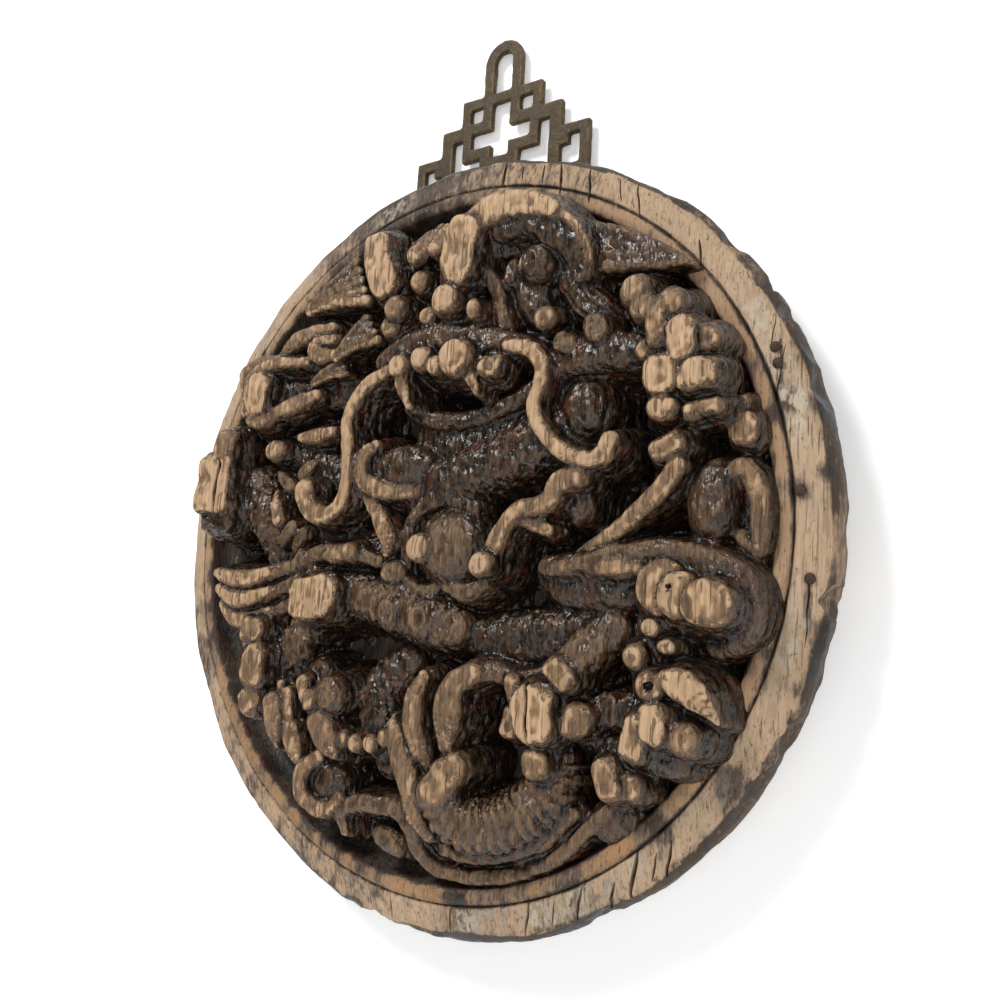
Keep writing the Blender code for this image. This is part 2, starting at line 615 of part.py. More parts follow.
def hanger_openings():
    """The eye of the loop, the cross, and the fret's squares, hooks and notched corners."""
    eye = arc((0, EYE_MIDDLE), EYE_HALF, 180, 0, CROWN_FACETS) + [(EYE_HALF, EYE_MIDDLE)]
    eye += [(EYE_HALF, TIER_TOPS[0]), (-EYE_HALF, TIER_TOPS[0])]
    cross_top = TIER_TOPS[0] - BAR
    cross_foot = HANGER_FOOT + CROSS_RISE
    arm_top = TIER_TOPS[1] - BAR
    arm_foot = arm_top - CROSS_ARM
    stem = LOOP_WIDTH / 2 - BAR - HOOK_GAP
    reach = TIER_WIDTHS[0] / 2 - BAR - 2 * HOOK_GAP
    cross = [(stem, cross_foot), (stem, arm_foot), (reach, arm_foot), (reach, arm_top), (stem, arm_top),
             (stem, cross_top), (-stem, cross_top), (-stem, arm_top), (-reach, arm_top),
             (-reach, arm_foot), (-stem, arm_foot), (-stem, cross_foot)]
    square_outer = TIER_WIDTHS[0] / 2 - BAR
    square_inner = LOOP_WIDTH / 2
    square_foot = TIER_TOPS[1] + HOOK_GAP
    slot_outer = TIER_WIDTHS[1] / 2 - BAR - 3 * HOOK_GAP
    slot_inner = reach + BAR
    slot_top = TIER_TOPS[1] - BAR - 3 * HOOK_GAP
    hook_top = cross_foot + HOOK_GAP
    hook_inner = LOOP_WIDTH / 2 + 0.5 * HOOK_GAP
    base = HANGER_FOOT + BAR
    corner_outer = TIER_WIDTHS[2] / 2 - BAR
    corner_inner = TIER_WIDTHS[1] / 2 - HOOK_GAP
    corner_top = TIER_TOPS[2] - BAR
    found = [eye, cross]
    for side in (1, -1):
        square = rectangle(square_inner, square_outer, square_foot, cross_top)
        hook = [(hook_inner, base), (slot_outer, base), (slot_outer, slot_top), (slot_inner, slot_top),
                (slot_inner, hook_top), (hook_inner, hook_top)]
        corner = [(corner_inner, base), (corner_outer, base), (corner_outer, corner_top),
                  (corner_inner + CORNER_NOTCH, corner_top),
                  (corner_inner + CORNER_NOTCH, corner_top - CORNER_NOTCH),
                  (corner_inner, corner_top - CORNER_NOTCH)]
        for shape in (square, hook, corner):
            found.append([(side * x, z) for x, z in shape])
    return found


def make_hanger(group):
    """The openwork plate, a flat outline with its holes, stood upright in its place."""
    curve = bpy.data.curves.new("hanger", "CURVE")
    curve.dimensions = "2D"
    curve.fill_mode = "BOTH"
    curve.extrude = PLATE_THICK / 2
    for outline in (hanger_outline(), *hanger_openings()):
        spline = curve.splines.new("POLY")
        spline.points.add(len(outline) - 1)
        for knot, (x, z) in zip(spline.points, outline):
            knot.co = (x, z - LOOP_CROWN_OVER_DISC, 0, 1)
        spline.use_cyclic_u = True
    flat = bpy.data.objects.new("hanger", curve)
    flat.rotation_euler = (math.radians(90), 0, 0)
    bpy.context.scene.collection.objects.link(flat)
    bpy.context.view_layer.update()
    mesh = evaluated_mesh(flat)
    bpy.data.objects.remove(flat)
    cage = bmesh.new()
    cage.from_mesh(mesh)
    bmesh.ops.remove_doubles(cage, verts=cage.verts, dist=0.00001)
    bmesh.ops.recalc_face_normals(cage, faces=cage.faces)
    cage.to_mesh(mesh)
    cage.free()
    return object_from("hanger", mesh, group)


def make_recess(group):
    """The shallow housing in the back of the board, a fit round the hanger's foot."""
    width = FOOT_WIDTH + 2 * FIT
    top = DISC_RADIUS + HOUSING_CLEAR
    bottom = FOOT_BOTTOM - FIT
    front = BACK_Y - PLATE_THICK - FIT
    back = BACK_Y + HOUSING_CLEAR
    cage = bmesh.new()
    middle = Vector((0, (front + back) / 2, (top + bottom) / 2 - LOOP_CROWN_OVER_DISC))
    size = Matrix.Diagonal((width, back - front, top - bottom, 1))
    bmesh.ops.create_cube(cage, size=1, matrix=Matrix.Translation(middle) @ size)
    mesh = bpy.data.meshes.new("Hanger housing")
    cage.to_mesh(mesh)
    cage.free()
    return as_helper(object_from("Hanger housing", mesh, group))


def nail_profile(head, crown, shank, length, grow=0.0):
    """A flat-headed nail driven along +Y from 0, as (radius, y), outer side first."""
    point = shank * 1.5
    return [
        (0, length + grow), (shank / 2 + grow, length - point), (shank / 2 + grow, crown + grow),
        (head / 2 + grow, crown * 0.6 + grow), (head / 2 + grow, 0),
        (head * 0.36 + grow, -crown * 0.35 - grow), (0, -crown * 0.5 - grow),
    ]


def make_nails(group, helpers):
    """The rim nails and the hanger's nails, each with its own clearance cutter."""
    rim_places = ((246, 108), (248, 97.5), (263, 19.5), (268.5, -31.5))
    nails, rim_holes, foot_holes = [], [], []
    for number, (x, z) in enumerate(rim_places, 1):
        radius = math.hypot(x, z) * UNIT
        share = (DISC_RADIUS - radius) / RIM_BAND_WIDTH
        height = RIM_BAND_HEIGHT * min(share, RIM_CREST_SHARE) + RIM_NAIL_PROUD
        spot = at(x, z, height / UNIT)
        sizes = (RIM_NAIL_HEAD, RIM_NAIL_CROWN, RIM_NAIL_SHANK, RIM_NAIL_LENGTH)
        nail = turned(f"rim_nail_{number}", nail_profile(*sizes), group, NAIL_SIDES)
        hole = turned(f"Rim nail hole {number}", nail_profile(*sizes, FIT), helpers, NAIL_SIDES)
        for thing in (nail, hole):
            thing.data.transform(Matrix.Translation(spot))
        nails.append(nail)
        rim_holes.append(as_helper(hole))
    aside = FOOT_WIDTH / 2 - FOOT_NAIL_INSET
    foot_places = ((-aside, FOOT_BOTTOM + FOOT_NAIL_INSET), (aside, FOOT_BOTTOM + FOOT_NAIL_INSET),
                   (0, HANGER_FOOT - FOOT_NAIL_INSET))
    for number, (x, z) in enumerate(foot_places, 1):
        spot = Vector((x, BACK_Y - FIT, z - LOOP_CROWN_OVER_DISC))
        sizes = (HANGER_NAIL_HEAD, HANGER_NAIL_CROWN, HANGER_NAIL_SHANK, HANGER_NAIL_LENGTH)
        nail = turned(f"hanger_nail_{number}", nail_profile(*sizes), group, NAIL_SIDES)
        hole = turned(f"Hanger nail hole {number}", nail_profile(*sizes, FIT), helpers, NAIL_SIDES)
        for thing in (nail, hole):
            thing.data.transform(Matrix.Rotation(math.pi, 4, "Z"))
            thing.data.transform(Matrix.Translation(spot))
        nails.append(nail)
        foot_holes.append(as_helper(hole))
    return nails, rim_holes, foot_holes


def shade(thing, finish):
    thing.data.materials.clear()
    thing.data.materials.append(finish)
    thing.data.shade_smooth()
    thing.data.set_sharp_from_angle(angle=math.radians(34))


def main():
    clear_scene()
    panel = new_collection("Carved wood panel")
    helpers = new_collection("Cutters")
    wood = material("Worn lacquered wood", (0.20, 0.12, 0.07), 0.6)
    bronze = material("Aged bronze", (0.16, 0.12, 0.06), 0.5, 0.8)
    iron = material("Rusty iron", (0.06, 0.04, 0.03), 0.7, 0.7)

    board = make_board(panel)
    hanger = make_hanger(panel)
    nails, rim_holes, foot_holes = make_nails(panel, helpers)
    boolean(board, make_cutters(helpers), "DIFFERENCE")
    boolean(board, make_relief(helpers), "UNION")
    boolean(board, make_recess(helpers), "DIFFERENCE")
    for hole in (*rim_holes, *foot_holes):
        boolean(board, hole, "DIFFERENCE")
    for hole in foot_holes:
        boolean(hanger, hole, "DIFFERENCE")
    shade(board, wood)
    shade(hanger, bronze)
    for nail in nails:
        shade(nail, iron)


main()
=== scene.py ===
"""Looks for the round carved wood panel: a dragon in high relief, its rim and its metal hanger.

The carving is laid out in millimetres from the middle of the disc, x to the right, z up, and
height out of the front rim. Forms are carved as distances on a grid of voxels and then skinned.
"""

import logging
import math
from dataclasses import dataclass, field
from enum import Enum

import bmesh
import bpy
import numpy as np
from mathutils import Matrix, Vector


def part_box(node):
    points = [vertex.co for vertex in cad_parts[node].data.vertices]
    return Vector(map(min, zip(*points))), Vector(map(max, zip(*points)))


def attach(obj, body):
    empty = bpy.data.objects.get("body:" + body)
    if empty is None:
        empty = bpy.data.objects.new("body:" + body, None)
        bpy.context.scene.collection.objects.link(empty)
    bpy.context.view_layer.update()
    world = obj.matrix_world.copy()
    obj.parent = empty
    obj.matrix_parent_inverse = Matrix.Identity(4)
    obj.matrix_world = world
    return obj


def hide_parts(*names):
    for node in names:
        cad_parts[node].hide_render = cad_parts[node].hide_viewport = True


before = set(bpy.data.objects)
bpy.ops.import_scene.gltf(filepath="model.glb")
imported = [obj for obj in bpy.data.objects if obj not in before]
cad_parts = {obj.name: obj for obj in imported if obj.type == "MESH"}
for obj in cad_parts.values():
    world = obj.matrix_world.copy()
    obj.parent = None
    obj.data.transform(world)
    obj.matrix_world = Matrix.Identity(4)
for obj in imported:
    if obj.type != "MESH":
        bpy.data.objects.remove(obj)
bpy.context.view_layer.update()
log = logging.getLogger("panel")

# Layout sizes, in millimetres; names that end in _Y or _Z are places in the part's frame, in metres.
MM = 0.001
BACK_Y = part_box("carved_panel")[1].y
RIM_TO_BACK = 44.0
FRONT_Y = BACK_Y - RIM_TO_BACK * MM
LOOP_TOP = 412.0
CENTRE_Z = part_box("hanger")[1].z - LOOP_TOP * MM
DISC_RADIUS = 280.0
GROUND = -11.0
FOOT = GROUND - 2.5
SEED = 11
MARGIN = 4.0
EMPTY = 9.0
MOST_ROOT = 8.0
# How far the lacquer has worn off.
BARE = 0.95
WORN = 0.70
DULL = 0.42
DARK = 0.12


def to_world(points: np.ndarray) -> np.ndarray:
    """Turns layout points (x, z, height) in millimetres into the part's frame in metres."""
    return np.stack(
        [points[:, 0] * MM, FRONT_Y - points[:, 2] * MM, CENTRE_Z + points[:, 1] * MM], axis=1)


def spot(x: float, z: float, height: float) -> Vector:
    """Gives one layout point in the part's frame."""
    return Vector(to_world(np.array([[x, z, height]], float))[0])


def hashed(cells: np.ndarray, seed: int) -> np.ndarray:
    """Gives a fixed random number from 0 to 1 for each whole-number cell.

    Args:
        cells: Whole numbers, one row of three for each cell.
        seed: Picks another set of numbers.

    Returns:
        One number for each row.
    """
    mixed = (cells[..., 0] * 73856093) ^ (cells[..., 1] * 19349663) ^ (cells[..., 2] * 83492791)
    mixed = (mixed ^ (seed * 2654435761)) & 0xFFFFFFFF
    mixed = (mixed ^ (mixed >> 15)) * 2246822519 & 0xFFFFFFFF
    mixed = (mixed ^ (mixed >> 13)) * 3266489917 & 0xFFFFFFFF
    return ((mixed ^ (mixed >> 16)) & 0xFFFFFF) / float(0xFFFFFF)


def noise(points: np.ndarray, scale: tuple[float, float, float], seed: int) -> np.ndarray:
    """Smooth value noise from -1 to 1.

    Args:
        points: Points, one row of three each.
        scale: The size of a cell along each axis, in the points' units.
        seed: Picks another pattern.

    Returns:
        One value for each point.
    """
    p = points / np.asarray(scale, float)
    cell = np.floor(p).astype(np.int64)
    t = p - cell
    t = t * t * (3 - 2 * t)
    total = np.zeros(len(points))
    for corner in range(8):
        step = np.array([corner & 1, corner >> 1 & 1, corner >> 2 & 1])
        weight = np.prod(np.where(step, t, 1 - t), axis=1)
        total += weight * hashed(cell + step, seed)
    return total * 2 - 1


def smooth_step(low: float, high: float, value: np.ndarray) -> np.ndarray:
    """Eases from 0 at low to 1 at high."""
    t = np.clip((value - low) / (high - low), 0, 1)
    return t * t * (3 - 2 * t)


def soft_max(first: np.ndarray, second: np.ndarray, width: float) -> np.ndarray:
    """Takes the larger of two values, easing the crease between them over a width."""
    ease = np.maximum(width - np.abs(first - second), 0) / width
    return np.maximum(first, second) + ease * ease * width * 0.25


class Engraving(Enum):
    """What is cut into a strand's surface."""

    PLAIN = "plain"
    HAIR = "hair"
    RINGS = "rings"
    SCALES = "scales"


def averaged(values: np.ndarray, reach: int) -> np.ndarray:
    """Averages a flat map over squares of twice the reach.

    Args:
        values: The map.
        reach: Half a square's side, in cells.

    Returns:
        A map of the same size.
    """
    summed = np.cumsum(np.cumsum(np.pad(values, reach, mode="edge"), axis=0), axis=1)
    width = 2 * reach
    return (summed[width:, width:] - summed[:-width, width:] - summed[width:, :-width]
            + summed[:-width, :-width]) / width ** 2


@dataclass
class Grid:
    """A box of voxels: the distance to the carving, how bare it is, and whose form is nearest."""

    low: tuple[float, float] = (-252.0, -246.0)
    high: tuple[float, float] = (262.0, 240.0)
    top: float = 58.0
    step: float = 1.3
    owner: int = 0
    xs: np.ndarray = field(init=False)
    zs: np.ndarray = field(init=False)
    hs: np.ndarray = field(init=False)
    uneven: np.ndarray = field(init=False)
    distance: np.ndarray = field(init=False)
    bare: np.ndarray = field(init=False)
    owners: np.ndarray = field(init=False)

    def __post_init__(self) -> None:
        """Lays out the axes and fills the grid with empty space."""
        self.xs = np.arange(self.low[0], self.high[0], self.step)
        self.zs = np.arange(self.low[1], self.high[1], self.step)
        self.hs = np.arange(FOOT - 2 * self.step, self.top, self.step)
        shape = (len(self.xs), len(self.zs), len(self.hs))
        self.distance = np.full(shape, EMPTY, np.float32)
        self.bare = np.zeros(shape, np.float32)
        self.owners = np.zeros(shape, np.uint8)
        x, z = np.meshgrid(self.xs, self.zs, indexing="ij")
        flat = np.stack([x.ravel(), z.ravel(), np.zeros(x.size)], axis=1)
        self.uneven = (noise(flat, (10, 13, 9), SEED + 50) * 1.2
                       + noise(flat, (5, 9, 9), SEED + 51) * 0.2).reshape(x.shape)

    def window(self, x0: float, x1: float, z0: float, z1: float) -> tuple[slice, slice] | None:
        """Finds the columns inside a rectangle, or None where it misses the grid.

        Args:
            x0: Left side.
            x1: Right side.
            z0: Bottom.
            z1: Top.

        Returns:
            Slices along x and z.
        """
        i0, i1 = np.searchsorted(self.xs, (x0, x1))
        j0, j1 = np.searchsorted(self.zs, (z0, z1))
        if i1 - i0 < 2 or j1 - j0 < 2:
            return None
        return slice(i0, i1), slice(j0, j1)

    def add(self, where: tuple[slice, slice], distance: np.ndarray, bare: np.ndarray, blend: float) -> None:
        """Joins a form on, easing the two surfaces together over the blend width.

        Args:
            where: The columns that it may reach.
            distance: Each voxel's distance to it.
            bare: How bare each voxel is.
            blend: The blend width.
        """
        old = self.distance[where]
        closer = distance < old
        self.bare[where] = np.where(closer, bare, self.bare[where])
        self.owners[where] = np.where(closer, np.uint8(self.owner), self.owners[where])
        ease = np.maximum(blend - np.abs(old - distance), 0) / blend
        self.distance[where] = np.minimum(old, distance) - ease * ease * blend * 0.25

    def tops(self) -> np.ndarray:
        """Gives the height of the carving in each column.

        Returns:
            A flat map of heights.
        """
        solid = self.distance < 0
        highest = self.hs[len(self.hs) - 1 - np.argmax(solid[:, :, ::-1], axis=2)]
        return np.where(solid.any(axis=2), highest, GROUND)

    def cut(self, where: tuple[slice, slice], distance: np.ndarray) -> None:
        """Takes a form away, and leaves dark wood where it was.

        Args:
            where: The columns that it may reach.
            distance: Each voxel's distance to it.
        """
        inner = -distance
        old = self.distance[where]
        self.bare[where] = np.where(inner > old, 0, self.bare[where])
        self.distance[where] = np.maximum(old, inner)


def spline_through(knots: np.ndarray, spacing: float) -> np.ndarray:
    """Follows knots with a smooth curve.

    Args:
        knots: Rows of (x, z, top, half width).
        spacing: About how far apart the samples lie.

    Returns:
        Sampled rows of the same four values.
    """
    first = 2 * knots[0] - knots[1]
    last = 2 * knots[-1] - knots[-2]
    padded = np.vstack([first, knots, last])
    rows = []
    for i in range(1, len(padded) - 2):
        a, b, c, d = padded[i - 1:i + 3]
        steps = max(2, int(np.hypot(*(c - b)[:2]) / spacing) + 1)
        for t in np.arange(steps) / steps:
            rows.append(0.5 * (2 * b + (c - a) * t + (2 * a - 5 * b + 4 * c - d) * t * t
                               + (3 * b - a - 3 * c + d) * t ** 3))
    rows.append(knots[-1])
    return np.array(rows)


@dataclass
class Strand:
    """A rounded strand that follows knots of (x, z, top, half width)."""

    knots: list[tuple[float, float, float, float]]
    bare: float = WORN
    fade: float = 14.0
    dome: float = 1.0
    engraving: Engraving = Engraving.PLAIN
    pitch: float = 5.0
    cut: float = 0.8
    worn_flat: float = 0.1
    root: float = 0.28
    blend: float = 3.0

    def carve(self, grid: Grid) -> None:
        """Adds the strand to the grid, solid down to the ground.

        Args:
            grid: The grid to carve in.
        """
        rows = spline_through(np.array(self.knots, float), 4.0)
        rows[:, 3] = np.maximum(rows[:, 3], 1.2)
        reach = rows[:, 3].max() + MARGIN
        where = grid.window(rows[:, 0].min() - reach, rows[:, 0].max() + reach,
                            rows[:, 1].min() - reach, rows[:, 1].max() + reach)
        if where is None:
            return
        x, z = np.meshgrid(grid.xs[where[0]], grid.zs[where[1]], indexing="ij")
        best = np.full(x.shape, 1e9)
        far = np.zeros_like(best)
        half = np.ones_like(best)
        top = np.zeros_like(best)
        along = np.zeros_like(best)
        side = np.zeros_like(best)
        travelled = 0.0
        for a, b in zip(rows[:-1], rows[1:]):
            run = b[:2] - a[:2]
            length = max(float(np.hypot(*run)), 1e-6)
            t = np.clip(((x - a[0]) * run[0] + (z - a[1]) * run[1]) / length ** 2, 0, 1)
            dx = x - a[0] - run[0] * t
            dz = z - a[1] - run[1] * t
            distance = np.hypot(dx, dz)
            wide = a[3] + (b[3] - a[3]) * t
            nearer = distance - wide < best
            best = np.where(nearer, distance - wide, best)
            far = np.where(nearer, distance, far)
            half = np.where(nearer, wide, half)
            top = np.where(nearer, a[2] + (b[2] - a[2]) * t, top)
            along = np.where(nearer, travelled + length * t, along)
            side = np.where(nearer, np.sign(dx * run[1] - dz * run[0]) * distance, side)
            travelled += length
        self._fill(grid, where, far, half, top, along, side)

    def _fill(self, grid: Grid, where: tuple[slice, slice], far: np.ndarray, half: np.ndarray,
              top: np.ndarray, along: np.ndarray, side: np.ndarray) -> None:
        """Raises the flat maps into a rounded form and adds it.

        Args:
            grid: The grid to carve in.
            where: The columns that the strand may reach.
            far: Distance from the middle line.
            half: Half width.
            top: Height of the top.
            along: Way along the line.
            side: Signed distance from the line.
        """
        h = grid.hs[None, None, :]
        rise = half * self.dome
        crest = (top + self.worn_flat * rise)[:, :, None]
        middle = crest - rise[:, :, None]
        above = (h - middle) / self.dome
        root = np.clip((middle - h) * self.root, 0, MOST_ROOT)
        upright = np.where(h > middle, above, 0)
        distance = np.hypot(far[:, :, None], upright) - half[:, :, None] - root
        distance -= self._engraved(along, side, half, h - middle)
        top = top + grid.uneven[where]
        distance = soft_max(distance, h - top[:, :, None], 2.4)
        crest_only = np.clip(1.5 - 0.9 * far / half, 0.2, 1)[:, :, None]
        bare = self.bare * crest_only * np.clip(1 - (top[:, :, None] - h) / self.fade, 0, 1)
        grid.add(where, distance.astype(np.float32), bare.astype(np.float32), self.blend)

    def _engraved(self, along: np.ndarray, side: np.ndarray, half: np.ndarray,
                  over: np.ndarray) -> np.ndarray | float:
        """Gives how far the surface stands out or in for the chosen engraving.

        Args:
            along: Way along the line.
            side: Signed distance from the line.
            half: Half width.
            over: Height over the middle line.

        Returns:
            Millimetres outward.
        """
        if self.engraving is Engraving.HAIR:
            lines = 1 - 4 * np.abs((side / self.pitch + 0.5) % 1 - 0.5)
            return (self.cut * (lines - 0.4))[:, :, None]
        if self.engraving is Engraving.RINGS:
            turn = (along + 0.25 * np.abs(side)) / self.pitch
            lines = np.abs(np.sin(np.pi * turn))
            return (self.cut * (lines - 0.5))[:, :, None]
        if self.engraving is Engraving.SCALES:
            around = np.arctan2(side[:, :, None], np.maximum(over, 0.01)) * half[:, :, None]
            row = np.floor(along[:, :, None] / self.pitch)
            u = along[:, :, None] / self.pitch - row
            v = around / (1.5 * self.pitch) + 0.5 * (row % 2)
            v = v - np.floor(v) - 0.5
            edge = 1 - 2.6 * v * v
            shelf = np.where(u < edge, u / np.maximum(edge, 0.2), (u - edge) * 0.4)
            patchy = 0.55 + 0.45 * np.sin(along * 0.23 + 2.1)[:, :, None] * np.sin(around * 0.31 + 0.7)
            return self.cut * (shelf * 1.4 - 0.6) * patchy
        return 0.0


@dataclass
class Lump:
    """A rounded lump of two half sizes, turned in degrees, with its worn top at a height."""

    x: float
    z: float
    top: float
    across: float
    along: float
    turn: float = 0.0
    dome: float = 0.0
    bare: float = WORN
    fade: float = 12.0
    worn_flat: float = 0.08
    ring: float = 0.0
    root: float = 0.3
    blend: float = 2.6
    chips: int = 2
    share: float = 0.8

    def _flat(self, grid: Grid, where: tuple[slice, slice]) -> tuple[np.ndarray, np.ndarray]:
        """Gives the columns' places in the lump's own turned axes.

        Args:
            grid: The grid.
            where: The columns.

        Returns:
            Places across and along.
        """
        x, z = np.meshgrid(grid.xs[where[0]] - self.x, grid.zs[where[1]] - self.z, indexing="ij")
        c, s = math.cos(math.radians(self.turn)), math.sin(math.radians(self.turn))
        return x * c + z * s, z * c - x * s

    def _chipped(self, a: np.ndarray, b: np.ndarray, over: np.ndarray, distance: np.ndarray) -> np.ndarray:
        """Cuts a few flat facets off the upper edge, as wear and knocks do.

        Args:
            a: Places across, for each column.
            b: Places along, for each column.
            over: Height above the worn top, for each voxel.
            distance: The form so far.

        Returns:
            The form with its facets.
        """
        for number in range(self.chips):
            place = np.array([round(self.x), round(self.z), number + 5])
            turn, lean, depth = (float(hashed(place, SEED + extra)) for extra in (1, 2, 3))
            turn = 2 * math.pi * (number + 0.7 * turn) / self.chips
            lean = math.radians(18 + 24 * lean)
            c, s = math.cos(turn), math.sin(turn)
            reach = self.share * math.hypot(c * self.across, s * self.along)
            offset = reach * math.sin(lean) - (0.3 + 1.5 * depth)
            plane = ((a * c + b * s) * math.sin(lean) - offset)[:, :, None] + over * math.cos(lean)
            distance = np.maximum(distance, plane)
        return distance

    def _window(self, grid: Grid) -> tuple[slice, slice] | None:
        """Finds the columns that the lump can reach."""
        reach = math.hypot(self.across, self.along) + MARGIN
        return grid.window(self.x - reach, self.x + reach, self.z - reach, self.z + reach)

    def carve(self, grid: Grid) -> None:
        """Adds the lump to the grid, solid down to the ground.

        Args:
            grid: The grid to carve in.
        """
        where = self._window(grid)
        if where is None:
            return
        a, b = self._flat(grid, where)
        size = min(self.across, self.along)
        share = np.hypot(a / self.across, b / self.along)
        rise = self.dome or size
        crest = self.top + self.worn_flat * rise
        middle = crest - rise
        h = grid.hs[None, None, :]
        upright = np.where(h > middle, (h - middle) * (size / rise), 0)
        root = np.clip((middle - h) * self.root, 0, MOST_ROOT)
        distance = np.hypot((share * size)[:, :, None], upright) - size - root
        if self.ring:
            lines = np.abs(np.sin(math.pi * share * size / self.ring))
            distance -= (0.7 * (lines - 0.5))[:, :, None]
        over = h - self.top - grid.uneven[where][:, :, None]
        distance = soft_max(self._chipped(a, b, over, distance), over, 1.6)
        bare = self.bare * np.clip(1 - (self.top - h) / self.fade, 0, 1) * np.clip(
            1.7 - 1.2 * share, 0.2, 1)[:, :, None]
        grid.add(where, distance.astype(np.float32), bare.astype(np.float32), self.blend)


@dataclass
class Slab(Lump):
    """A block with a worn flat face: full width and length, softened corners and splits."""

    corner: float = 0.42
    chips: int = 3
    share: float = 0.46
    edge: float = 3.0
    tilt: tuple[float, float] = (0.0, 0.0)
    splits: tuple[tuple[float, float, float], ...] = ()
    narrow: float = 1.0
    side_bare: float = 0.22
    spread: float = 0.36

    def carve(self, grid: Grid) -> None:
        """Adds the block to the grid, solid down to the ground.

        Args:
            grid: The grid to carve in.
        """
        where = self._window(grid)
        if where is None:
            return
        a, b = self._flat(grid, where)
        squeeze = 1 - (1 - self.narrow) * np.clip(0.5 - b / self.along, 0, 1)
        a = a / squeeze
        a = a + 0.8 * np.sin(b / 5.0 + self.x) * 0.7
        b = b + 0.7 * np.sin(a / 4.0 + self.z) * 0.7
        round_off = self.corner * min(self.across, self.along)
        qx = np.abs(a) - self.across / 2 + round_off
        qz = np.abs(b) - self.along / 2 + round_off
        within = np.minimum(np.maximum(qx, qz), 0)
        outline = within + np.hypot(np.maximum(qx, 0), np.maximum(qz, 0)) - round_off
        h = grid.hs[None, None, :]
        top = self.top + a * (self.tilt[0] + self._lean(1)) + b * (self.tilt[1] + self._lean(2))
        top = top + grid.uneven[where] * 1.3
        wall = outline[:, :, None] - np.clip((top[:, :, None] - h) * self.spread, 0, 7.0)
        lid = np.broadcast_to(h - top[:, :, None], wall.shape)
        e = self.edge
        distance = (np.minimum(np.maximum(wall + e, lid + e), 0)
                    + np.hypot(np.maximum(wall + e, 0), np.maximum(lid + e, 0)) - e)
        distance = self._chipped(a, b, lid, distance)
        for offset, width, lean in self.splits:
            gap = width / 2 - np.abs(a - offset - lean * b)
            deep = 9.0 - (top[:, :, None] - h)
            distance = np.maximum(distance, np.minimum(gap[:, :, None], deep))
        fall = np.clip(1 - (top[:, :, None] - h - 1.2) / 8, self.side_bare, 1)
        inward = np.clip(0.62 - outline / 4.5, 0.3, 1)[:, :, None]
        bare = self.bare * fall * inward
        grid.add(where, distance.astype(np.float32), bare.astype(np.float32), self.blend)

    def _lean(self, axis: int) -> float:
        """Gives the small lean of the worn face along one axis."""
        place = np.array([round(self.x), round(self.z), axis])
        return 0.16 * (float(hashed(place, SEED)) - 0.5)


@dataclass
class Hollow(Lump):
    """A round hollow cut into what is there, down to a floor height."""

    floor: float = 0.0

    def carve(self, grid: Grid) -> None:
        """Takes the hollow out of the grid.

        Args:
            grid: The grid to carve in.
        """
        where = self._window(grid)
        if where is None:
            return
        a, b = self._flat(grid, where)
        size = min(self.across, self.along)
        share = np.hypot(a / self.across, b / self.along)
        h = grid.hs[None, None, :]
        upright = np.maximum(self.floor + size - h, 0)
        distance = np.hypot((share * size)[:, :, None], upright) - size
        grid.cut(where, distance.astype(np.float32))


@dataclass
class Skin:
    """The carving's surface: corner places in layout millimetres, faces and what each corner is."""

    corners: np.ndarray
    faces: np.ndarray
    bare: np.ndarray
    owner: np.ndarray


def wrap(grid: Grid) -> Skin:
    """Wraps the carving in four-sided faces, one corner in each voxel that the surface crosses.

    Args:
        grid: The carved grid.

    Returns:
        The surface, open where it is sunk in the board.
    """
    d = np.where(np.abs(grid.distance) < 1e-4, 1e-4, grid.distance)
    d[[0, -1]] = 4.0
    d[:, [0, -1]] = 4.0
    d[:, :, -1] = 4.0
    inside = d < 0
    n = np.array(d.shape) - 1
    count = np.zeros(n, np.int16)
    for corner in range(8):
        i, j, k = corner & 1, corner >> 1 & 1, corner >> 2 & 1
        count += inside[i:i + n[0], j:j + n[1], k:k + n[2]]
    active = (count > 0) & (count < 8)
    cells = np.argwhere(active)
    index = np.full(n, -1, np.int32)
    index[tuple(cells.T)] = np.arange(len(cells))
    total = np.zeros((len(cells), 3))
    hits = np.zeros(len(cells))
    for axis in range(3):
        others = [other for other in range(3) if other != axis]
        for pair in range(4):
            start = np.zeros(3, int)
            start[others[0]] = pair & 1
            start[others[1]] = pair >> 1
            end = start.copy()
            end[axis] = 1
            first = d[tuple((cells + start).T)]
            second = d[tuple((cells + end).T)]
            crosses = (first < 0) != (second < 0)
            t = np.where(crosses, first / np.where(crosses, first - second, 1), 0)
            place = start + t[:, None] * (end - start)
            total += place * crosses[:, None]
            hits += crosses
    local = total / hits[:, None]
    origin = np.array([grid.xs[0], grid.zs[0], grid.hs[0]])
    corners = origin + (cells + local) * grid.step
    faces = []
    for axis in range(3):
        u, v = (axis + 1) % 3, (axis + 2) % 3
        low = [slice(1, -1)] * 3
        low[axis] = slice(0, -1)
        high = list(low)
        high[axis] = slice(1, None)
        first, second = inside[tuple(low)], inside[tuple(high)]
        spots = np.argwhere(first != second)
        outward = first[tuple(spots.T)]
        base = spots + 1
        base[:, axis] -= 1
        ring = []
        for du, dv in ((1, 1), (0, 1), (0, 0), (1, 0)):
            cell = base.copy()
            cell[:, u] -= du
            cell[:, v] -= dv
            ring.append(index[tuple(cell.T)])
        quad = np.stack(ring, axis=1)
        quad[~outward] = quad[~outward][:, ::-1]
        faces.append(quad)
    nearest = tuple((cells + (local > 0.5)).T)
    return Skin(corners, np.concatenate(faces), grid.bare[nearest], grid.owners[nearest])


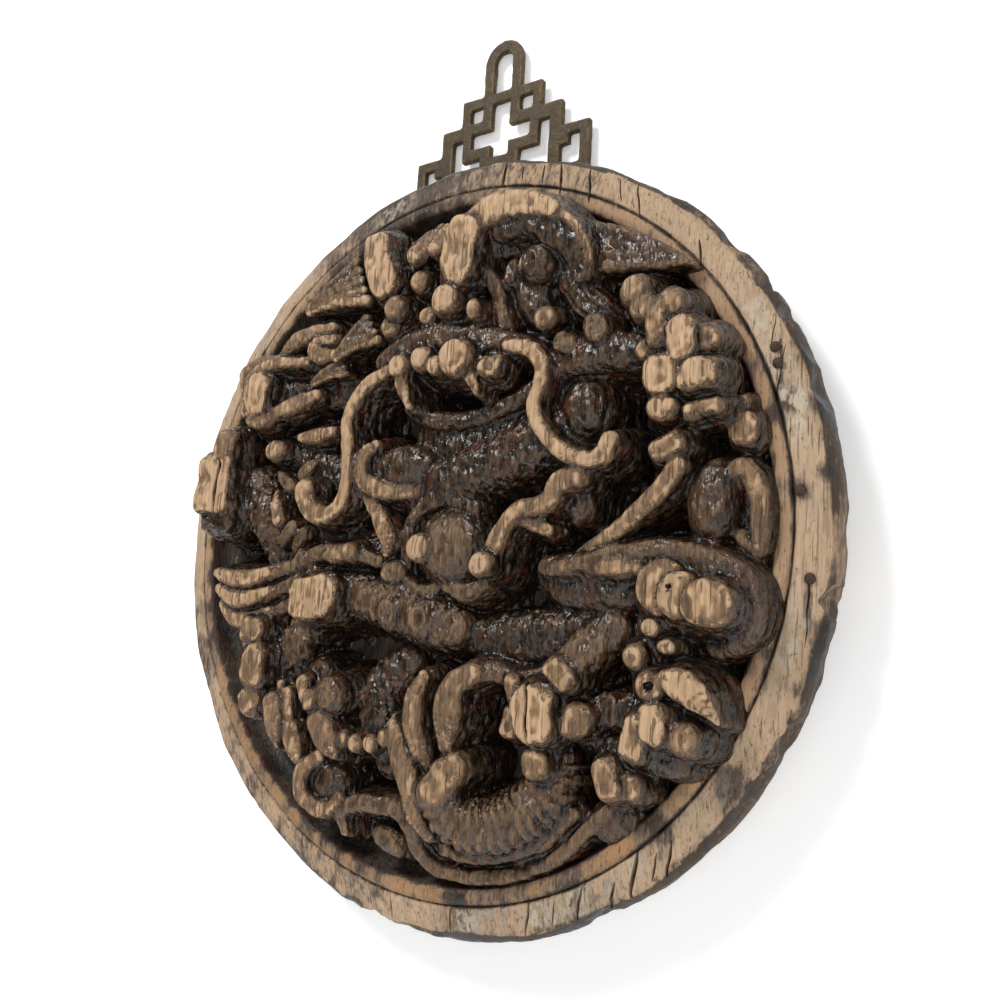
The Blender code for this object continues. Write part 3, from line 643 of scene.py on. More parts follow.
def stand(name: str, data: bpy.types.ID) -> bpy.types.Object:
    """Makes an object, linked to the scene.

    Args:
        name: Its name.
        data: What it holds.

    Returns:
        The object.
    """
    made = bpy.data.objects.new(name, data)
    bpy.context.scene.collection.objects.link(made)
    return made


def settled(thing: bpy.types.Object) -> bpy.types.Mesh:
    """Gives a plain mesh of a thing with its modifiers worked out."""
    bpy.context.view_layer.update()
    return bpy.data.meshes.new_from_object(thing.evaluated_get(bpy.context.evaluated_depsgraph_get()))


def mesh_piece(name: str, points: np.ndarray, faces: np.ndarray, values: dict[str, np.ndarray],
               finish: bpy.types.Material) -> bpy.types.Object:
    """Makes a shaded object from arrays.

    Args:
        name: The piece's name.
        points: Corner places in the part's frame, in metres.
        faces: Rows of four corner numbers.
        values: Per-corner numbers to keep as attributes.
        finish: The material.

    Returns:
        The new object, linked to the scene.
    """
    mesh = bpy.data.meshes.new(name)
    mesh.vertices.add(len(points))
    mesh.vertices.foreach_set("co", points.astype(np.float32).ravel())
    mesh.loops.add(faces.size)
    mesh.loops.foreach_set("vertex_index", faces.astype(np.int32).ravel())
    mesh.polygons.add(len(faces))
    mesh.polygons.foreach_set("loop_start", np.arange(len(faces), dtype=np.int32) * faces.shape[1])
    mesh.polygons.foreach_set("loop_total", np.full(len(faces), faces.shape[1], np.int32))
    mesh.update(calc_edges=True)
    mesh.validate()
    for key, value in values.items():
        layer = mesh.attributes.new(key, "FLOAT", "POINT")
        layer.data.foreach_set("value", value.astype(np.float32))
    mesh.shade_smooth()
    mesh.materials.append(finish)
    return stand(name, mesh)


Form = Strand | Lump | Slab | Hollow


def balls(bare: float, *places: tuple[float, float, float, float]) -> list[Form]:
    """Makes round knobs of (x, z, top, half width).

    Args:
        bare: How far the lacquer has worn off.
        places: The knobs.

    Returns:
        One lump for each.
    """
    return [Lump(x, z, top, half, half, bare=bare) for x, z, top, half in places]


def fan(tip: tuple[float, float, float], first: tuple[float, float, float],
        last: tuple[float, float, float], count: int, bare: float) -> list[Form]:
    """Makes a lock of hair: narrow strands that draw from a row of roots to one tip.

    Args:
        tip: Where the lock ends, as (x, z, top).
        first: Where the first strand starts, as (x, z, top).
        last: Where the last strand starts.
        count: How many strands it has.
        bare: How far the lacquer has worn off.

    Returns:
        One strand for each root.
    """
    made: list[Form] = []
    root = np.array(first, float)
    step = (np.array(last, float) - root) / (count - 1)
    half = max(2.4, 0.52 * float(np.hypot(*step[:2])))
    for number in range(count):
        x, z, top = root + step * number
        off = number - (count - 1) / 2
        swell = 0.10 * off * float(np.hypot(*step[:2]))
        along = np.array([tip[0] - x, tip[1] - z])
        side = np.array([-along[1], along[0]]) / max(float(np.hypot(*along)), 1)
        belly = np.array([x, z]) + along * 0.5 - side * swell
        share = bare * (0.5 + 0.5 * number / (count - 1))
        made.append(Strand([(x, z, top, half), (belly[0], belly[1], (top + tip[2]) / 2 + 3, half),
                            (tip[0] + off * 0.8, tip[1] - off * 1.2, tip[2], 1.4)],
                           bare=share, fade=8, root=0.05, blend=0.6))
    return made


def leaf(head: tuple[float, float], tip: tuple[float, float], top: float, half: float, bare: float) -> Form:
    """Makes a leaf or claw that is round at its head and draws to a point.

    Args:
        head: The middle of the round end, as (x, z).
        tip: The point.
        top: The height of its worn top.
        half: Its half width at the head.
        bare: How far the lacquer has worn off.

    Returns:
        One tapered strand.
    """
    middle = (0.45 * head[0] + 0.55 * tip[0], 0.45 * head[1] + 0.55 * tip[1], top, 0.82 * half)
    return Strand([(*head, top, half), middle, (*tip, top - 4, 1.4)], bare=bare, dome=0.8, worn_flat=0.15,
                  blend=1.2)


class Sculpture:
    """A group of carved forms that makes one piece."""

    name = ""

    def forms(self) -> list[Form]:
        """Gives the forms, in the order they are carved."""
        raise NotImplementedError


@dataclass
class Head(Sculpture):
    """The dragon's head: horn, curled brow, eye, knobbed lip, jaw, whiskers and beard."""

    name: str = "dragon_head"
    whisker: float = 6.0
    curl: float = 9.0

    def forms(self) -> list[Form]:
        """Gives the head's forms."""
        return [*self._jaw(), *self._brow(), *self._lip(), *self._whiskers()]

    def _brow(self) -> list[Form]:
        """The horn slab, the curled bulbs and the great arch of the brow."""
        c = self.curl
        return [
            Strand([(-62, 226, 26, 5), (-56, 200, 30, 6), (-44, 172, 32, 5)], bare=DULL),
            Strand([(-30, 212, 26, 6), (-16, 218, 28, 6), (-4, 224, 26, 5)], bare=DULL),
            Strand([(54, 196, 30, 8), (74, 199, 30, 8), (96, 188, 28, 8), (104, 170, 22, 7)], bare=DARK),
            Lump(78, 168, 26, 17, 30, 8, bare=DARK),
            Lump(66, 178, 30, 9, 12, -20, bare=DARK),
            Lump(88, 180, 38, 14, 15, bare=DARK, chips=0),
            Strand([(46, 186, 34, 5), (50, 174, 34, 6), (56, 160, 30, 6), (60, 140, 28, 6)], bare=0.3),
            Lump(79, 181, 36, 3, 7, -25),
            Strand([(110, 165, 24, 12), (125, 148, 22, 14), (146, 132, 18, 9)], bare=DARK,
                   engraving=Engraving.HAIR, pitch=4.5, cut=1.0),
            Strand([(62, 207, 42, 10), (86, 207, 43, 11), (104, 198, 41, 11), (116, 186, 38, 10),
                    (122, 168, 32, 7)], bare=DARK, dome=0.8),
            Strand([(106, 209, 42, 4), (120, 198, 40, 4), (127, 183, 36, 4), (127, 168, 30, 3)]),
            Strand([(38, 209, 48, 11), (52, 218, 48, 12), (70, 220, 48, 11), (90, 217, 47, 9),
                    (104, 211, 45, 6)], bare=BARE, dome=0.7, worn_flat=0.3),
            Strand([(-13, 200, 44, c), (-4, 211, 38, c - 2), (4, 222, 28, 5)]),
            Strand([(8, 202, 46, c), (14, 213, 40, c - 1), (24, 222, 30, 6)]),
            *balls(WORN, (-8, 179, 44, 9), (-26, 160, 48, 11), (-3, 153, 38, 8)),
            Lump(-36, 149, 40, 11, 10),
            Lump(43, 150, 44, 6, 8),
            Lump(21, 159, 50, 14, 14, bare=BARE, ring=6.5),
            Slab(32, 193, 50, 28, 48, -15, bare=0.9, tilt=(0.02, 0.04), corner=0.34, chips=1),
            Slab(-43, 196, 48, 23, 52, 18, bare=BARE, tilt=(-0.05, 0.03), corner=0.40, chips=1),
            Lump(97, 139, 36, 9, 9),
        ]

    def _lip(self) -> list[Form]:
        """The upper lip's row of knobs with the fangs below."""
        return [
            Strand([(-44, 124, 34, 10), (-20, 134, 36, 12), (12, 136, 38, 12), (46, 130, 36, 11),
                    (78, 122, 32, 9)], bare=0.3),
            *balls(BARE, (-21, 116, 46, 10), (0, 119, 46, 10), (12, 113, 44, 8)),
            Lump(34, 115, 50, 15, 15, bare=BARE, worn_flat=0.3),
            Slab(59, 108, 42, 18, 14),
            Strand([(-19, 104, 42, 6), (-15, 95, 42, 5), (-11, 86, 40, 3)]),
            Strand([(44, 101, 42, 5), (47, 92, 38, 3)]),
        ]

    def _jaw(self) -> list[Form]:
        """The dark open mouth and the lower jaw."""
        return [
            Strand([(-10, 66, 18, 12), (30, 60, 20, 14), (75, 70, 18, 13)], bare=0.0),
            Strand([(-22, 88, 26, 5), (-8, 80, 26, 6), (17, 76, 25, 7), (43, 78, 25, 7), (70, 86, 26, 6),
                    (87, 96, 26, 5)], bare=0.0),
        ]

    def _whiskers(self) -> list[Form]:
        """The two long whiskers and the hooked lock of the beard."""
        w = self.whisker
        return [
            Strand([(-47, 60, 34, 5), (-54, 53, 38, 7), (-56, 42, 39, 8), (-52, 33, 38, 8),
                    (-38, 27, 36, 8), (-22, 25, 32, 7), (-6, 27, 26, 6)]),
            Lump(-24, 43, 34, 28, 17, 4, dome=12, bare=DARK, chips=0),
            Strand([(-58, 28, 30, 5), (-48, 17, 32, 6), (-39, 7, 34, 7), (-32, -2, 36, 8),
                    (-29, -10, 34, 7), (-31, -20, 30, 3)]),
            Strand([(-34, 115, 40, w - 1), (-52, 107, 40, w), (-63, 96, 41, w), (-69, 80, 42, w),
                    (-67, 60, 42, w), (-66, 40, 42, w), (-68, 24, 41, w), (-76, 13, 40, w),
                    (-88, 8, 40, w + 2), (-102, 12, 41, w + 3), (-110, 24, 42, w + 4),
                    (-109, 28, 42, w + 4)], bare=0.82, worn_flat=0.15),
            Strand([(70, 122, 36, w - 1), (88, 118, 38, w), (98, 108, 40, w), (101, 95, 41, w),
                    (97, 80, 42, w), (99, 68, 42, w), (106, 57, 42, w), (116, 47, 41, w),
                    (128, 41, 40, w), (140, 39, 39, w), (148, 43, 39, w + 1), (152, 50, 40, w + 1)],
                   bare=0.82),
        ]


@dataclass
class Body(Sculpture):
    """The coils of the scaly body, from the shoulder to the blunt loop below."""

    name: str = "dragon_body"
    scale: float = 8.0
    scale_cut: float = 2.2

    def _coil(self, bare: float, *knots: tuple[float, float, float, float]) -> Form:
        """One scaly stretch of the body."""
        return Strand(list(knots), bare=bare, engraving=Engraving.SCALES, pitch=self.scale,
                      cut=self.scale_cut)

    def forms(self) -> list[Form]:
        """Gives the body's forms."""
        return [
            self._coil(DARK, (-14, 22, 24, 14), (18, 33, 30, 19), (53, 43, 31, 21), (88, 55, 30, 21),
                       (122, 70, 27, 18)),
            Lump(126, 76, 30, 21, 25, bare=DARK),
            self._coil(DULL, (-78, -44, 28, 14), (-50, -52, 32, 18), (-14, -60, 33, 19),
                       (16, -68, 32, 19), (32, -70, 28, 15)),
            self._coil(DARK, (46, -76, 18, 16), (86, -75, 22, 19), (128, -71, 22, 19), (152, -66, 18, 14)),
            self._coil(DARK, (-18, -98, 16, 16), (-36, -118, 22, 19), (-36, -140, 24, 19),
                       (-24, -164, 20, 18)),
            self._coil(0.3, (-192, 40, 20, 18), (-180, 20, 24, 21), (-166, 2, 24, 20), (-158, -18, 18, 15)),
            self._coil(DULL, (-110, -70, 22, 14), (-122, -86, 26, 17), (-130, -104, 22, 15)),
            self._coil(DARK, (-150, 60, 14, 12), (-120, 52, 18, 16), (-92, 40, 18, 18)),
            self._coil(DARK, (-100, -8, 16, 16), (-70, -12, 18, 16), (-44, -22, 20, 14)),
            self._coil(DARK, (120, -122, 18, 14), (150, -116, 26, 12), (172, -116, 28, 12)),
            Strand([(31, -182, 38, 18), (42, -195, 36, 18), (60, -199, 34, 18), (80, -194, 32, 18),
                    (97, -183, 30, 18), (110, -168, 26, 17), (114, -150, 20, 14)], bare=DULL,
                   engraving=Engraving.RINGS, pitch=7.0, cut=2.0),
            Strand([(46, -162, 38, 12), (40, -168, 40, 14), (33, -178, 40, 15)], bare=0.78),
            Lump(-21, -62, 37, 13, 15, bare=DULL, ring=4.5),
            Lump(8, -66, 37, 15, 16, bare=DULL, ring=4.5),
        ]


@dataclass
class Clouds(Sculpture):
    """The pearl, its flame, the fins, waves and leaves that fill the ground."""

    name: str = "clouds_and_waves"
    crest: float = 6.0

    def forms(self) -> list[Form]:
        """Gives the forms round the pearl, the waves below and the mane's leaves."""
        return [*self._pearl(), *self._fins(), *self._waves()]

    def _pearl(self) -> list[Form]:
        """The pearl in its ring, and the twisted flame beside it."""
        return [
            Strand([(-12, -40, 27, 4), (-3, -47, 29, 6), (8, -47, 29, 6), (17, -41, 26, 4)], bare=DULL),
            Strand([(26, -43, 30, 5), (44, -47, 33, 7), (58, -41, 32, 5)], bare=DULL),
            Strand([(-14, -28, 26, 5), (-14, -4, 28, 6), (-4, 12, 28, 6), (18, 19, 28, 6), (42, 12, 28, 6)],
                   bare=DARK),
            Lump(26, -15, 37, 34, 31, dome=26, bare=0.5, chips=0, blend=0.8),
            Lump(7, -17, 43, 12, 12, bare=BARE),
            Strand([(129, 29, 38, 9), (116, 25, 38, 9), (109, 15, 36, 8), (98, 10, 36, 7), (86, 8, 37, 7),
                    (77, 0, 37, 7), (69, -10, 36, 8), (64, -20, 34, 8)]),
            Strand([(84, 4, 34, 5), (94, 0, 32, 5), (105, -4, 30, 5)]),
            Lump(61, -28, 43, 10, 10, bare=BARE),
            Lump(124, 14, 26, 12, 16, bare=DARK),
        ]

    def _fins(self) -> list[Form]:
        """Fins and leaves that edge the body."""
        return [
            Strand([(14, -106, 34, 5), (9, -121, 37, 8), (9, -137, 37, 9), (13, -152, 34, 8),
                    (18, -165, 28, 4)], dome=0.7, worn_flat=0.2),
            Strand([(104, -96, 26, 4), (88, -102, 30, 6), (72, -98, 33, 7), (56, -99, 36, 8)], bare=DULL),
            Strand([(58, -100, 38, 7), (44, -109, 40, 10), (39, -126, 40, 12), (37, -148, 34, 7)],
                   dome=0.7, worn_flat=0.2),
            Strand([(-12, -140, 32, 4), (-4, -157, 34, 9), (5, -176, 34, 10), (10, -198, 30, 7),
                    (18, -212, 22, 4)], dome=0.7, worn_flat=0.15),
            leaf((-8, -152), (-14, -134), 32, 5, WORN),
            Strand([(-116, -24, 32, 6), (-88, -20, 34, 7), (-62, -20, 32, 6), (-40, -26, 30, 5)], bare=DULL),
            leaf((-62, -20), (-90, -24), 38, 8, WORN),
            Strand([(-118, -20, 30, 4), (-100, -34, 32, 5), (-84, -38, 32, 4)], bare=DULL),
            Lump(-24, -34, 32, 13, 10, bare=DULL),
            leaf((-150, 8), (-158, 30), 28, 7, WORN),
            leaf((-136, 0), (-148, -14), 26, 7, DULL),
            leaf((-140, 34), (-156, 46), 28, 6, DULL),
            leaf((-128, 44), (-116, 54), 26, 6, DULL),
            leaf((-124, -4), (-134, -20), 24, 6, 0.3),
            Strand([(-134, 74, 26, 4), (-118, 73, 28, 7), (-100, 76, 26, 4)]),
            Strand([(196, 34, 34, 6), (186, 20, 34, 7), (172, 8, 32, 7), (150, -8, 28, 6),
                    (128, -20, 24, 5)]),
            Lump(214, 12, 28, 17, 28, -4, bare=0.2),
            Strand([(222, 28, 22, 7), (234, 31, 22, 8), (242, 16, 21, 7), (243, -2, 20, 7),
                    (240, -16, 18, 6), (230, -8, 16, 5)], fade=6),
            Strand([(112, -30, 32, 5), (135, -26, 34, 6), (165, -19, 36, 6), (190, -17, 36, 6),
                    (218, -22, 34, 6), (238, -32, 30, 5)], bare=DULL),
            Lump(130, -38, 24, 36, 12, -4, bare=DARK),
            Lump(150, -184, 12, 22, 15, 24, bare=DARK),
        ]

    def _waves(self) -> list[Form]:
        """The swell of water and cloud along the bottom and the left.

        Returns:
            The forms.
        """
        c = self.crest
        made: list[Form] = [
            Strand([(-60, -221, 20, c - 2), (-62, -208, 23, c), (-48, -200, 25, c + 1),
                    (-28, -198, 26, c + 1), (-10, -198, 25, c + 1), (2, -208, 24, c), (7, -223, 20, c),
                    (18, -234, 14, c - 1), (40, -236, 12, c - 1), (66, -232, 12, c - 1),
                    (91, -225, 12, c - 2)], bare=DULL),
            Lump(-20, -222, 20, 17, 9, -18, bare=DULL),
            Strand([(24, -221, 13, 5), (44, -222, 14, 5), (70, -217, 14, 5), (104, -203, 16, 5),
                    (126, -182, 18, 5)], bare=DULL),
            Strand([(84, -226, 10, 4), (110, -214, 12, 5), (134, -192, 14, 5), (150, -176, 14, 4)],
                   bare=DULL),
        ]
        for step, top in enumerate((36, 34, 30)):
            drop = 16 * step
            made.append(Strand([(-160, -40 - drop, top - 4, 6), (-136, -33 - drop * 0.9, top - 4, 6),
                                (-112, -27 - drop * 0.7, top - 4, 5)], bare=DULL))
            made.append(Strand([(-207 + 2 * step, -37 - drop * 0.8, top, 4), (-190, -41 - drop, top, 7.5),
                                (-170, -41 - drop, top, 7), (-150, -36 - drop * 0.95, top - 2, 4)],
                               bare=0.85, fade=6, dome=0.8, worn_flat=0.2))
        return made


@dataclass
class Mane(Sculpture):
    """Locks of the mane, each a fan of strands drawn to one tip."""

    name: str = "dragon_mane"
    lock: float = 5.0

    def forms(self) -> list[Form]:
        """Gives the locks."""
        h = self.lock
        return [
            *fan((196, 166, 22), (122, 203, 24), (130, 174, 24), 4, DULL),
            *fan((-126, 117, 26), (-94, 132, 28), (-90, 122, 26), 3, WORN),
            *fan((-97, 133, 32), (-68, 162, 32), (-56, 144, 30), 4, WORN),
            *fan((-134, 177, 30), (-86, 211, 30), (-71, 178, 30), 5, WORN + 0.1),
            Strand([(-164, 142, 26, h), (-148, 153, 30, h + 3), (-130, 160, 28, h + 2), (-112, 163, 24, h)]),
            Strand([(-104, 138, 28, 6), (-120, 140, 32, 8), (-122, 150, 30, 6), (-108, 152, 26, 5)]),
        ]


@dataclass
class Forefeet(Sculpture):
    """The two upper feet with their square worn toes."""

    name: str = "dragon_forefeet"
    knob: float = 12.0

    def forms(self) -> list[Form]:
        """Gives the two feet, the left one first."""
        return [*self._upper_left(), *self._upper_right()]

    def _upper_left(self) -> list[Form]:
        """The long claw on the rim, the square toe and the toes that end at the left edge."""
        return [
            Strand([(-88, 112, 12, 12), (-124, 110, 18, 15), (-150, 112, 26, 14)], bare=DARK),
            Strand([(-196, 12, 24, 8), (-214, 12, 28, 9), (-222, 4, 24, 6)], bare=DARK),
            Strand([(-192, 134, 34, 6), (-178, 137, 36, 8), (-160, 137, 34, 6)]),
            Strand([(-184, 124, 40, 5), (-168, 132, 41, 6), (-148, 134, 38, 5), (-128, 134, 32, 4)]),
            Slab(-192, 124, 36, 15, 24, 10),
            Slab(-197, 104, 28, 16, 18),
            Slab(-174, 110, 41, 32, 36, -4, bare=BARE, narrow=0.8),
            Strand([(-154, 94, 34, 6), (-140, 98, 36, 8), (-118, 106, 30, 5)]),
            Strand([(-184, 90, 36, 7), (-168, 90, 38, 9), (-156, 94, 34, 6)]),
            Slab(-209, 70, 40, 20, 26, 6),
            Slab(-217, 38, 41, 36, 50, 0, bare=BARE, splits=((5, 2.6, 0.02),), corner=0.2, chips=1),
            Slab(-214, 6, 37, 30, 16, 0, bare=DARK, corner=0.3),
            Lump(-156, 63, 34, 13, 9),
        ]

    def _upper_right(self) -> list[Form]:
        """The foreleg at the right and its knuckles."""
        return [
            Strand([(106, 108, 30, 12), (130, 111, 34, 14), (156, 111, 32, 13), (176, 108, 30, 10)],
                   bare=DARK, engraving=Engraving.SCALES, pitch=7, cut=0.9),
            Slab(232, 56, 22, 18, 20),
            Slab(228, 72, 18, 14, 10),
            Slab(138, 126, 38, 16, 18, 10, bare=DULL),
            Slab(114, 119, 36, 14, 12, -10, bare=DULL),
            Lump(172, 108, 36, 7, 8),
            *balls(WORN, (166, 146, 42, self.knob), (173, 134, 42, self.knob - 1),
                   (190, 134, 40, self.knob)),
            Slab(183, 122, 41, 12, 30, -6),
            Slab(214, 110, 38, 14, 16, 20),
            Slab(199, 110, 43, 18, 26, 4, bare=BARE),
            Slab(212, 67, 36, 24, 9, 6),
            Slab(210, 87, 42, 25, 17, 8, bare=BARE),
            Slab(187, 89, 43, 21, 24, bare=BARE),
            Lump(187, 69, 41, 11, 9, bare=BARE),
            Slab(190, 45, 36, 22, 12, 24),
        ]


@dataclass
class Hindfeet(Sculpture):
    """The two lower feet, and the round joint of the hind leg."""

    name: str = "dragon_hindfeet"

    def forms(self) -> list[Form]:
        """Gives the leg first, then the right foot and the left one."""
        return [*self._leg(), *self._lower_right(), *self._lower_left()]

    def _leg(self) -> list[Form]:
        """The round joint at the right: three flat discs that overlap, in a long dark fold."""
        return [
            Lump(140, -42, 27, 40, 15, -2, dome=12, bare=DARK),
            Strand([(104, -28, 28, 7), (130, -28, 32, 9), (165, -26, 34, 10), (196, -24, 34, 10),
                    (222, -28, 33, 12), (238, -42, 30, 12), (236, -62, 26, 11), (220, -72, 22, 9)],
                   bare=0.3),
            Lump(204, -46, 34, 36, 22, -8, dome=12, bare=DULL),
            Lump(191, -40, 38, 17, 17, -6, dome=5, bare=BARE, worn_flat=0.5, chips=0, blend=0.8),
            Lump(203, -45, 41.5, 14, 14, dome=4, bare=BARE, worn_flat=0.5, chips=0, blend=0.8),
            Lump(222, -49, 46, 16, 14, dome=5, bare=BARE, worn_flat=0.5, chips=0, blend=0.8),
            Hollow(198, -40, 40, 2.0, 2.0, floor=38.5),
            Strand([(148, -29, 36, 4), (160, -28, 38, 6), (174, -29, 36, 4)]),
        ]

    def _lower_right(self) -> list[Form]:
        """The hind leg at the lower right, its square knee and the clawed foot."""
        return [
            Strand([(152, -66, 26, 14), (138, -78, 32, 15), (126, -92, 36, 14)], bare=DULL,
                   engraving=Engraving.SCALES, pitch=6, cut=0.8),
            Strand([(176, -60, 24, 8), (176, -84, 26, 10), (178, -104, 28, 10)], bare=DARK),
            Strand([(150, -140, 22, 10), (165, -140, 24, 10), (185, -140, 26, 8)], bare=DARK),
            Slab(124, -95, 40, 22, 15, -36),
            Slab(88, -108, 34, 10, 18, 8),
            Slab(86, -129, 32, 13, 20, -16),
            Slab(136, -123, 36, 17, 20, -20),
            Slab(107, -153, 34, 17, 18, 4),
            Slab(109, -121, 44, 30, 35, 8, bare=BARE, narrow=0.85, splits=((-4, 1.7, 0.08),)),
            Slab(157, -155, 34, 16, 24, 12),
            Slab(169, -159, 30, 16, 14, -12),
            Lump(186, -140, 28, 20, 10, -16, bare=DARK),
            Lump(206, -126, 41, 13, 11, -14),
            Slab(179, -128, 43, 14, 27, -10, bare=BARE),
            Slab(191, -119, 45, 17, 22, 8, bare=BARE),
            Lump(187, -98, 42, 11, 11, ring=5.0),
            Hollow(187, -98, 39, 2.6, 2.6, floor=37.5),
            Strand([(197, -92, 42, 4), (205, -95, 44, 9), (214, -100, 43, 9), (221, -108, 38, 5),
                    (225, -115, 32, 2)], bare=BARE, worn_flat=0.3, dome=0.7),
            Lump(182, -64, 34, 7, 6),
            Lump(193, -75, 34, 7, 5),
            Lump(173, -82, 36, 9, 9),
        ]

    def _lower_left(self) -> list[Form]:
        """The foot at the lower left: square toes above, then leaf-shaped claws and a row of beads.

        Returns:
            The forms.
        """
        leaves = (
            ((-129, -136), (-121, -167), 38, 10), ((-117, -128), (-112, -152), 34, 6),
            ((-112, -154), (-98, -180), 34, 9), ((-79, -145), (-61, -168), 38, 13),
            ((-126, -121), (-123, -134), 32, 4), ((-104, -118), (-98, -136), 32, 6),
        )
        made: list[Form] = [
            Strand([(-120, -150, 16, 14), (-110, -130, 20, 16), (-100, -112, 20, 14)], bare=DARK),
            Strand([(-140, -92, 16, 12), (-120, -112, 18, 14), (-90, -140, 20, 18)], bare=DARK),
            Lump(-75, -188, 28, 18, 17, bare=DARK),
            Strand([(-84, -171, 30, 6), (-95, -182, 34, 7), (-95, -196, 34, 7), (-84, -206, 32, 7),
                    (-70, -206, 30, 6), (-63, -197, 26, 4)]),
            Lump(-72, -125, 39, 17, 16, bare=DULL, ring=5.0),
            Slab(-85, -129, 42, 10, 14, 4),
        ]
        made += [leaf(head, tip, top, half, WORN) for head, tip, top, half in leaves]
        beads = ((-58, -155), (-46, -157), (-31, -155), (-19, -150))
        made += [Lump(x, z, 33, 6.5, 7) for x, z in beads]
        made.append(Slab(-158, -81, 38, 25, 19, 6))
        made.append(Slab(-148, -109, 42, 23, 33, 8))
        made.append(Slab(-154, -136, 38, 21, 20, 10))
        made.append(Slab(-90, -54, 44, 50, 31, 6, bare=BARE, narrow=0.85, chips=2))
        return made


Colour = tuple[float, float, float]


class Shader:
    """Builds a node material step by step, on the piece's own Object coordinates."""

    def __init__(self, name: str) -> None:
        """Starts a material with a plain Principled shader.

        Args:
            name: The material's name.
        """
        self.material = bpy.data.materials.new(name)
        self.material.use_nodes = True
        self.tree = self.material.node_tree
        self.surface = self.tree.nodes["Principled BSDF"]
        self.place = self.tree.nodes.new("ShaderNodeTexCoord").outputs["Object"]

    def _feed(self, socket: bpy.types.NodeSocket, value: object) -> None:
        """Links a socket, or sets the socket's own value.

        Args:
            socket: The socket.
            value: Another socket, a colour or a number.
        """
        if isinstance(value, bpy.types.NodeSocket):
            self.tree.links.new(value, socket)
        elif isinstance(value, tuple) and len(value) == 3 and socket.type == "RGBA":
            socket.default_value = (*value, 1.0)
        else:
            socket.default_value = value

    def noise(self, scale: tuple[float, float, float], detail: float, shift: float = 0.0,
              rough: float = 0.55) -> bpy.types.NodeSocket:
        """Adds noise with cells per metre along each axis.

        Args:
            scale: Cells per metre along x, y and z.
            detail: How many finer layers it has.
            shift: Moves the pattern, so that two of them differ.
            rough: How strong the finer layers are.

        Returns:
            The noise's value, from 0 to 1.
        """
        mapped = self.tree.nodes.new("ShaderNodeMapping")
        mapped.inputs["Scale"].default_value = scale
        mapped.inputs["Location"].default_value = (shift, shift * 0.7, shift * 1.3)
        self.tree.links.new(self.place, mapped.inputs["Vector"])
        texture = self.tree.nodes.new("ShaderNodeTexNoise")
        texture.inputs["Scale"].default_value = 1.0
        texture.inputs["Detail"].default_value = detail
        texture.inputs["Roughness"].default_value = rough
        self.tree.links.new(mapped.outputs["Vector"], texture.inputs["Vector"])
        return texture.outputs["Fac"]

    def cells(self, scale: tuple[float, float, float]) -> bpy.types.NodeSocket:
        """Adds rounded cells, so many per metre along each axis, and gives the distance to their middles.

        Args:
            scale: Cells per metre along x, y and z.

        Returns:
            The distance.
        """
        mapped = self.tree.nodes.new("ShaderNodeMapping")
        mapped.inputs["Scale"].default_value = scale
        self.tree.links.new(self.place, mapped.inputs["Vector"])
        texture = self.tree.nodes.new("ShaderNodeTexVoronoi")
        texture.inputs["Scale"].default_value = 1.0
        self.tree.links.new(mapped.outputs["Vector"], texture.inputs["Vector"])
        return texture.outputs["Distance"]

    def worn(self, name: str) -> bpy.types.NodeSocket:
        """Reads one of the piece's own attributes.

        Args:
            name: The attribute.

        Returns:
            Its value.
        """
        reader = self.tree.nodes.new("ShaderNodeAttribute")
        reader.attribute_name = name
        return reader.outputs["Fac"]

    def sum(self, first: object, second: object, kind: str = "ADD",
            third: object = 0.0) -> bpy.types.NodeSocket:
        """Adds or combines two numbers, or three for MULTIPLY_ADD.

        Args:
            first: A number or socket.
            second: Another.
            kind: The operation.
            third: What MULTIPLY_ADD adds.

        Returns:
            The result.
        """
        node = self.tree.nodes.new("ShaderNodeMath")
        node.operation = kind
        for socket, value in zip(node.inputs, (first, second, third)):
            self._feed(socket, value)
        return node.outputs["Value"]

    def span(self, value: object, low: float, high: float, start: float = 0.0,
             end: float = 1.0) -> bpy.types.NodeSocket:
        """Eases a value's range from low to high into the range from start to end.

        Args:
            value: The value.
            low: Where the easing starts.
            high: Where it ends.
            start: The result at low.
            end: The result at high.

        Returns:
            The result.
        """
        node = self.tree.nodes.new("ShaderNodeMapRange")
        node.interpolation_type = "SMOOTHSTEP"
        for key, number in zip(("Value", "From Min", "From Max", "To Min", "To Max"),
                               (value, low, high, start, end)):
            self._feed(node.inputs[key], number)
        return node.outputs["Result"]

    def blend(self, share: object, first: object, second: object) -> bpy.types.NodeSocket:
        """Mixes two colours by a share.

        Args:
            share: How much of the second.
            first: A colour.
            second: Another.

        Returns:
            The mix.
        """
        node = self.tree.nodes.new("ShaderNodeMix")
        node.data_type = "RGBA"
        for socket, value in zip((node.inputs[0], node.inputs[6], node.inputs[7]), (share, first, second)):
            self._feed(socket, value)
        return node.outputs[2]

    def relief(self, height: object, millimetres: float, strength: float = 1.0,
               under: bpy.types.NodeSocket | None = None) -> bpy.types.NodeSocket:
        """Adds a bump of so many millimetres, on top of another where one is given.

        Args:
            height: The pattern.
            millimetres: How high it stands.
            strength: Its strength.
            under: The bump below.

        Returns:
            The bent normal.
        """
        node = self.tree.nodes.new("ShaderNodeBump")
        node.inputs["Strength"].default_value = strength
        node.inputs["Distance"].default_value = millimetres * MM
        self._feed(node.inputs["Height"], height)
        if under:
            self.tree.links.new(under, node.inputs["Normal"])
        return node.outputs["Normal"]

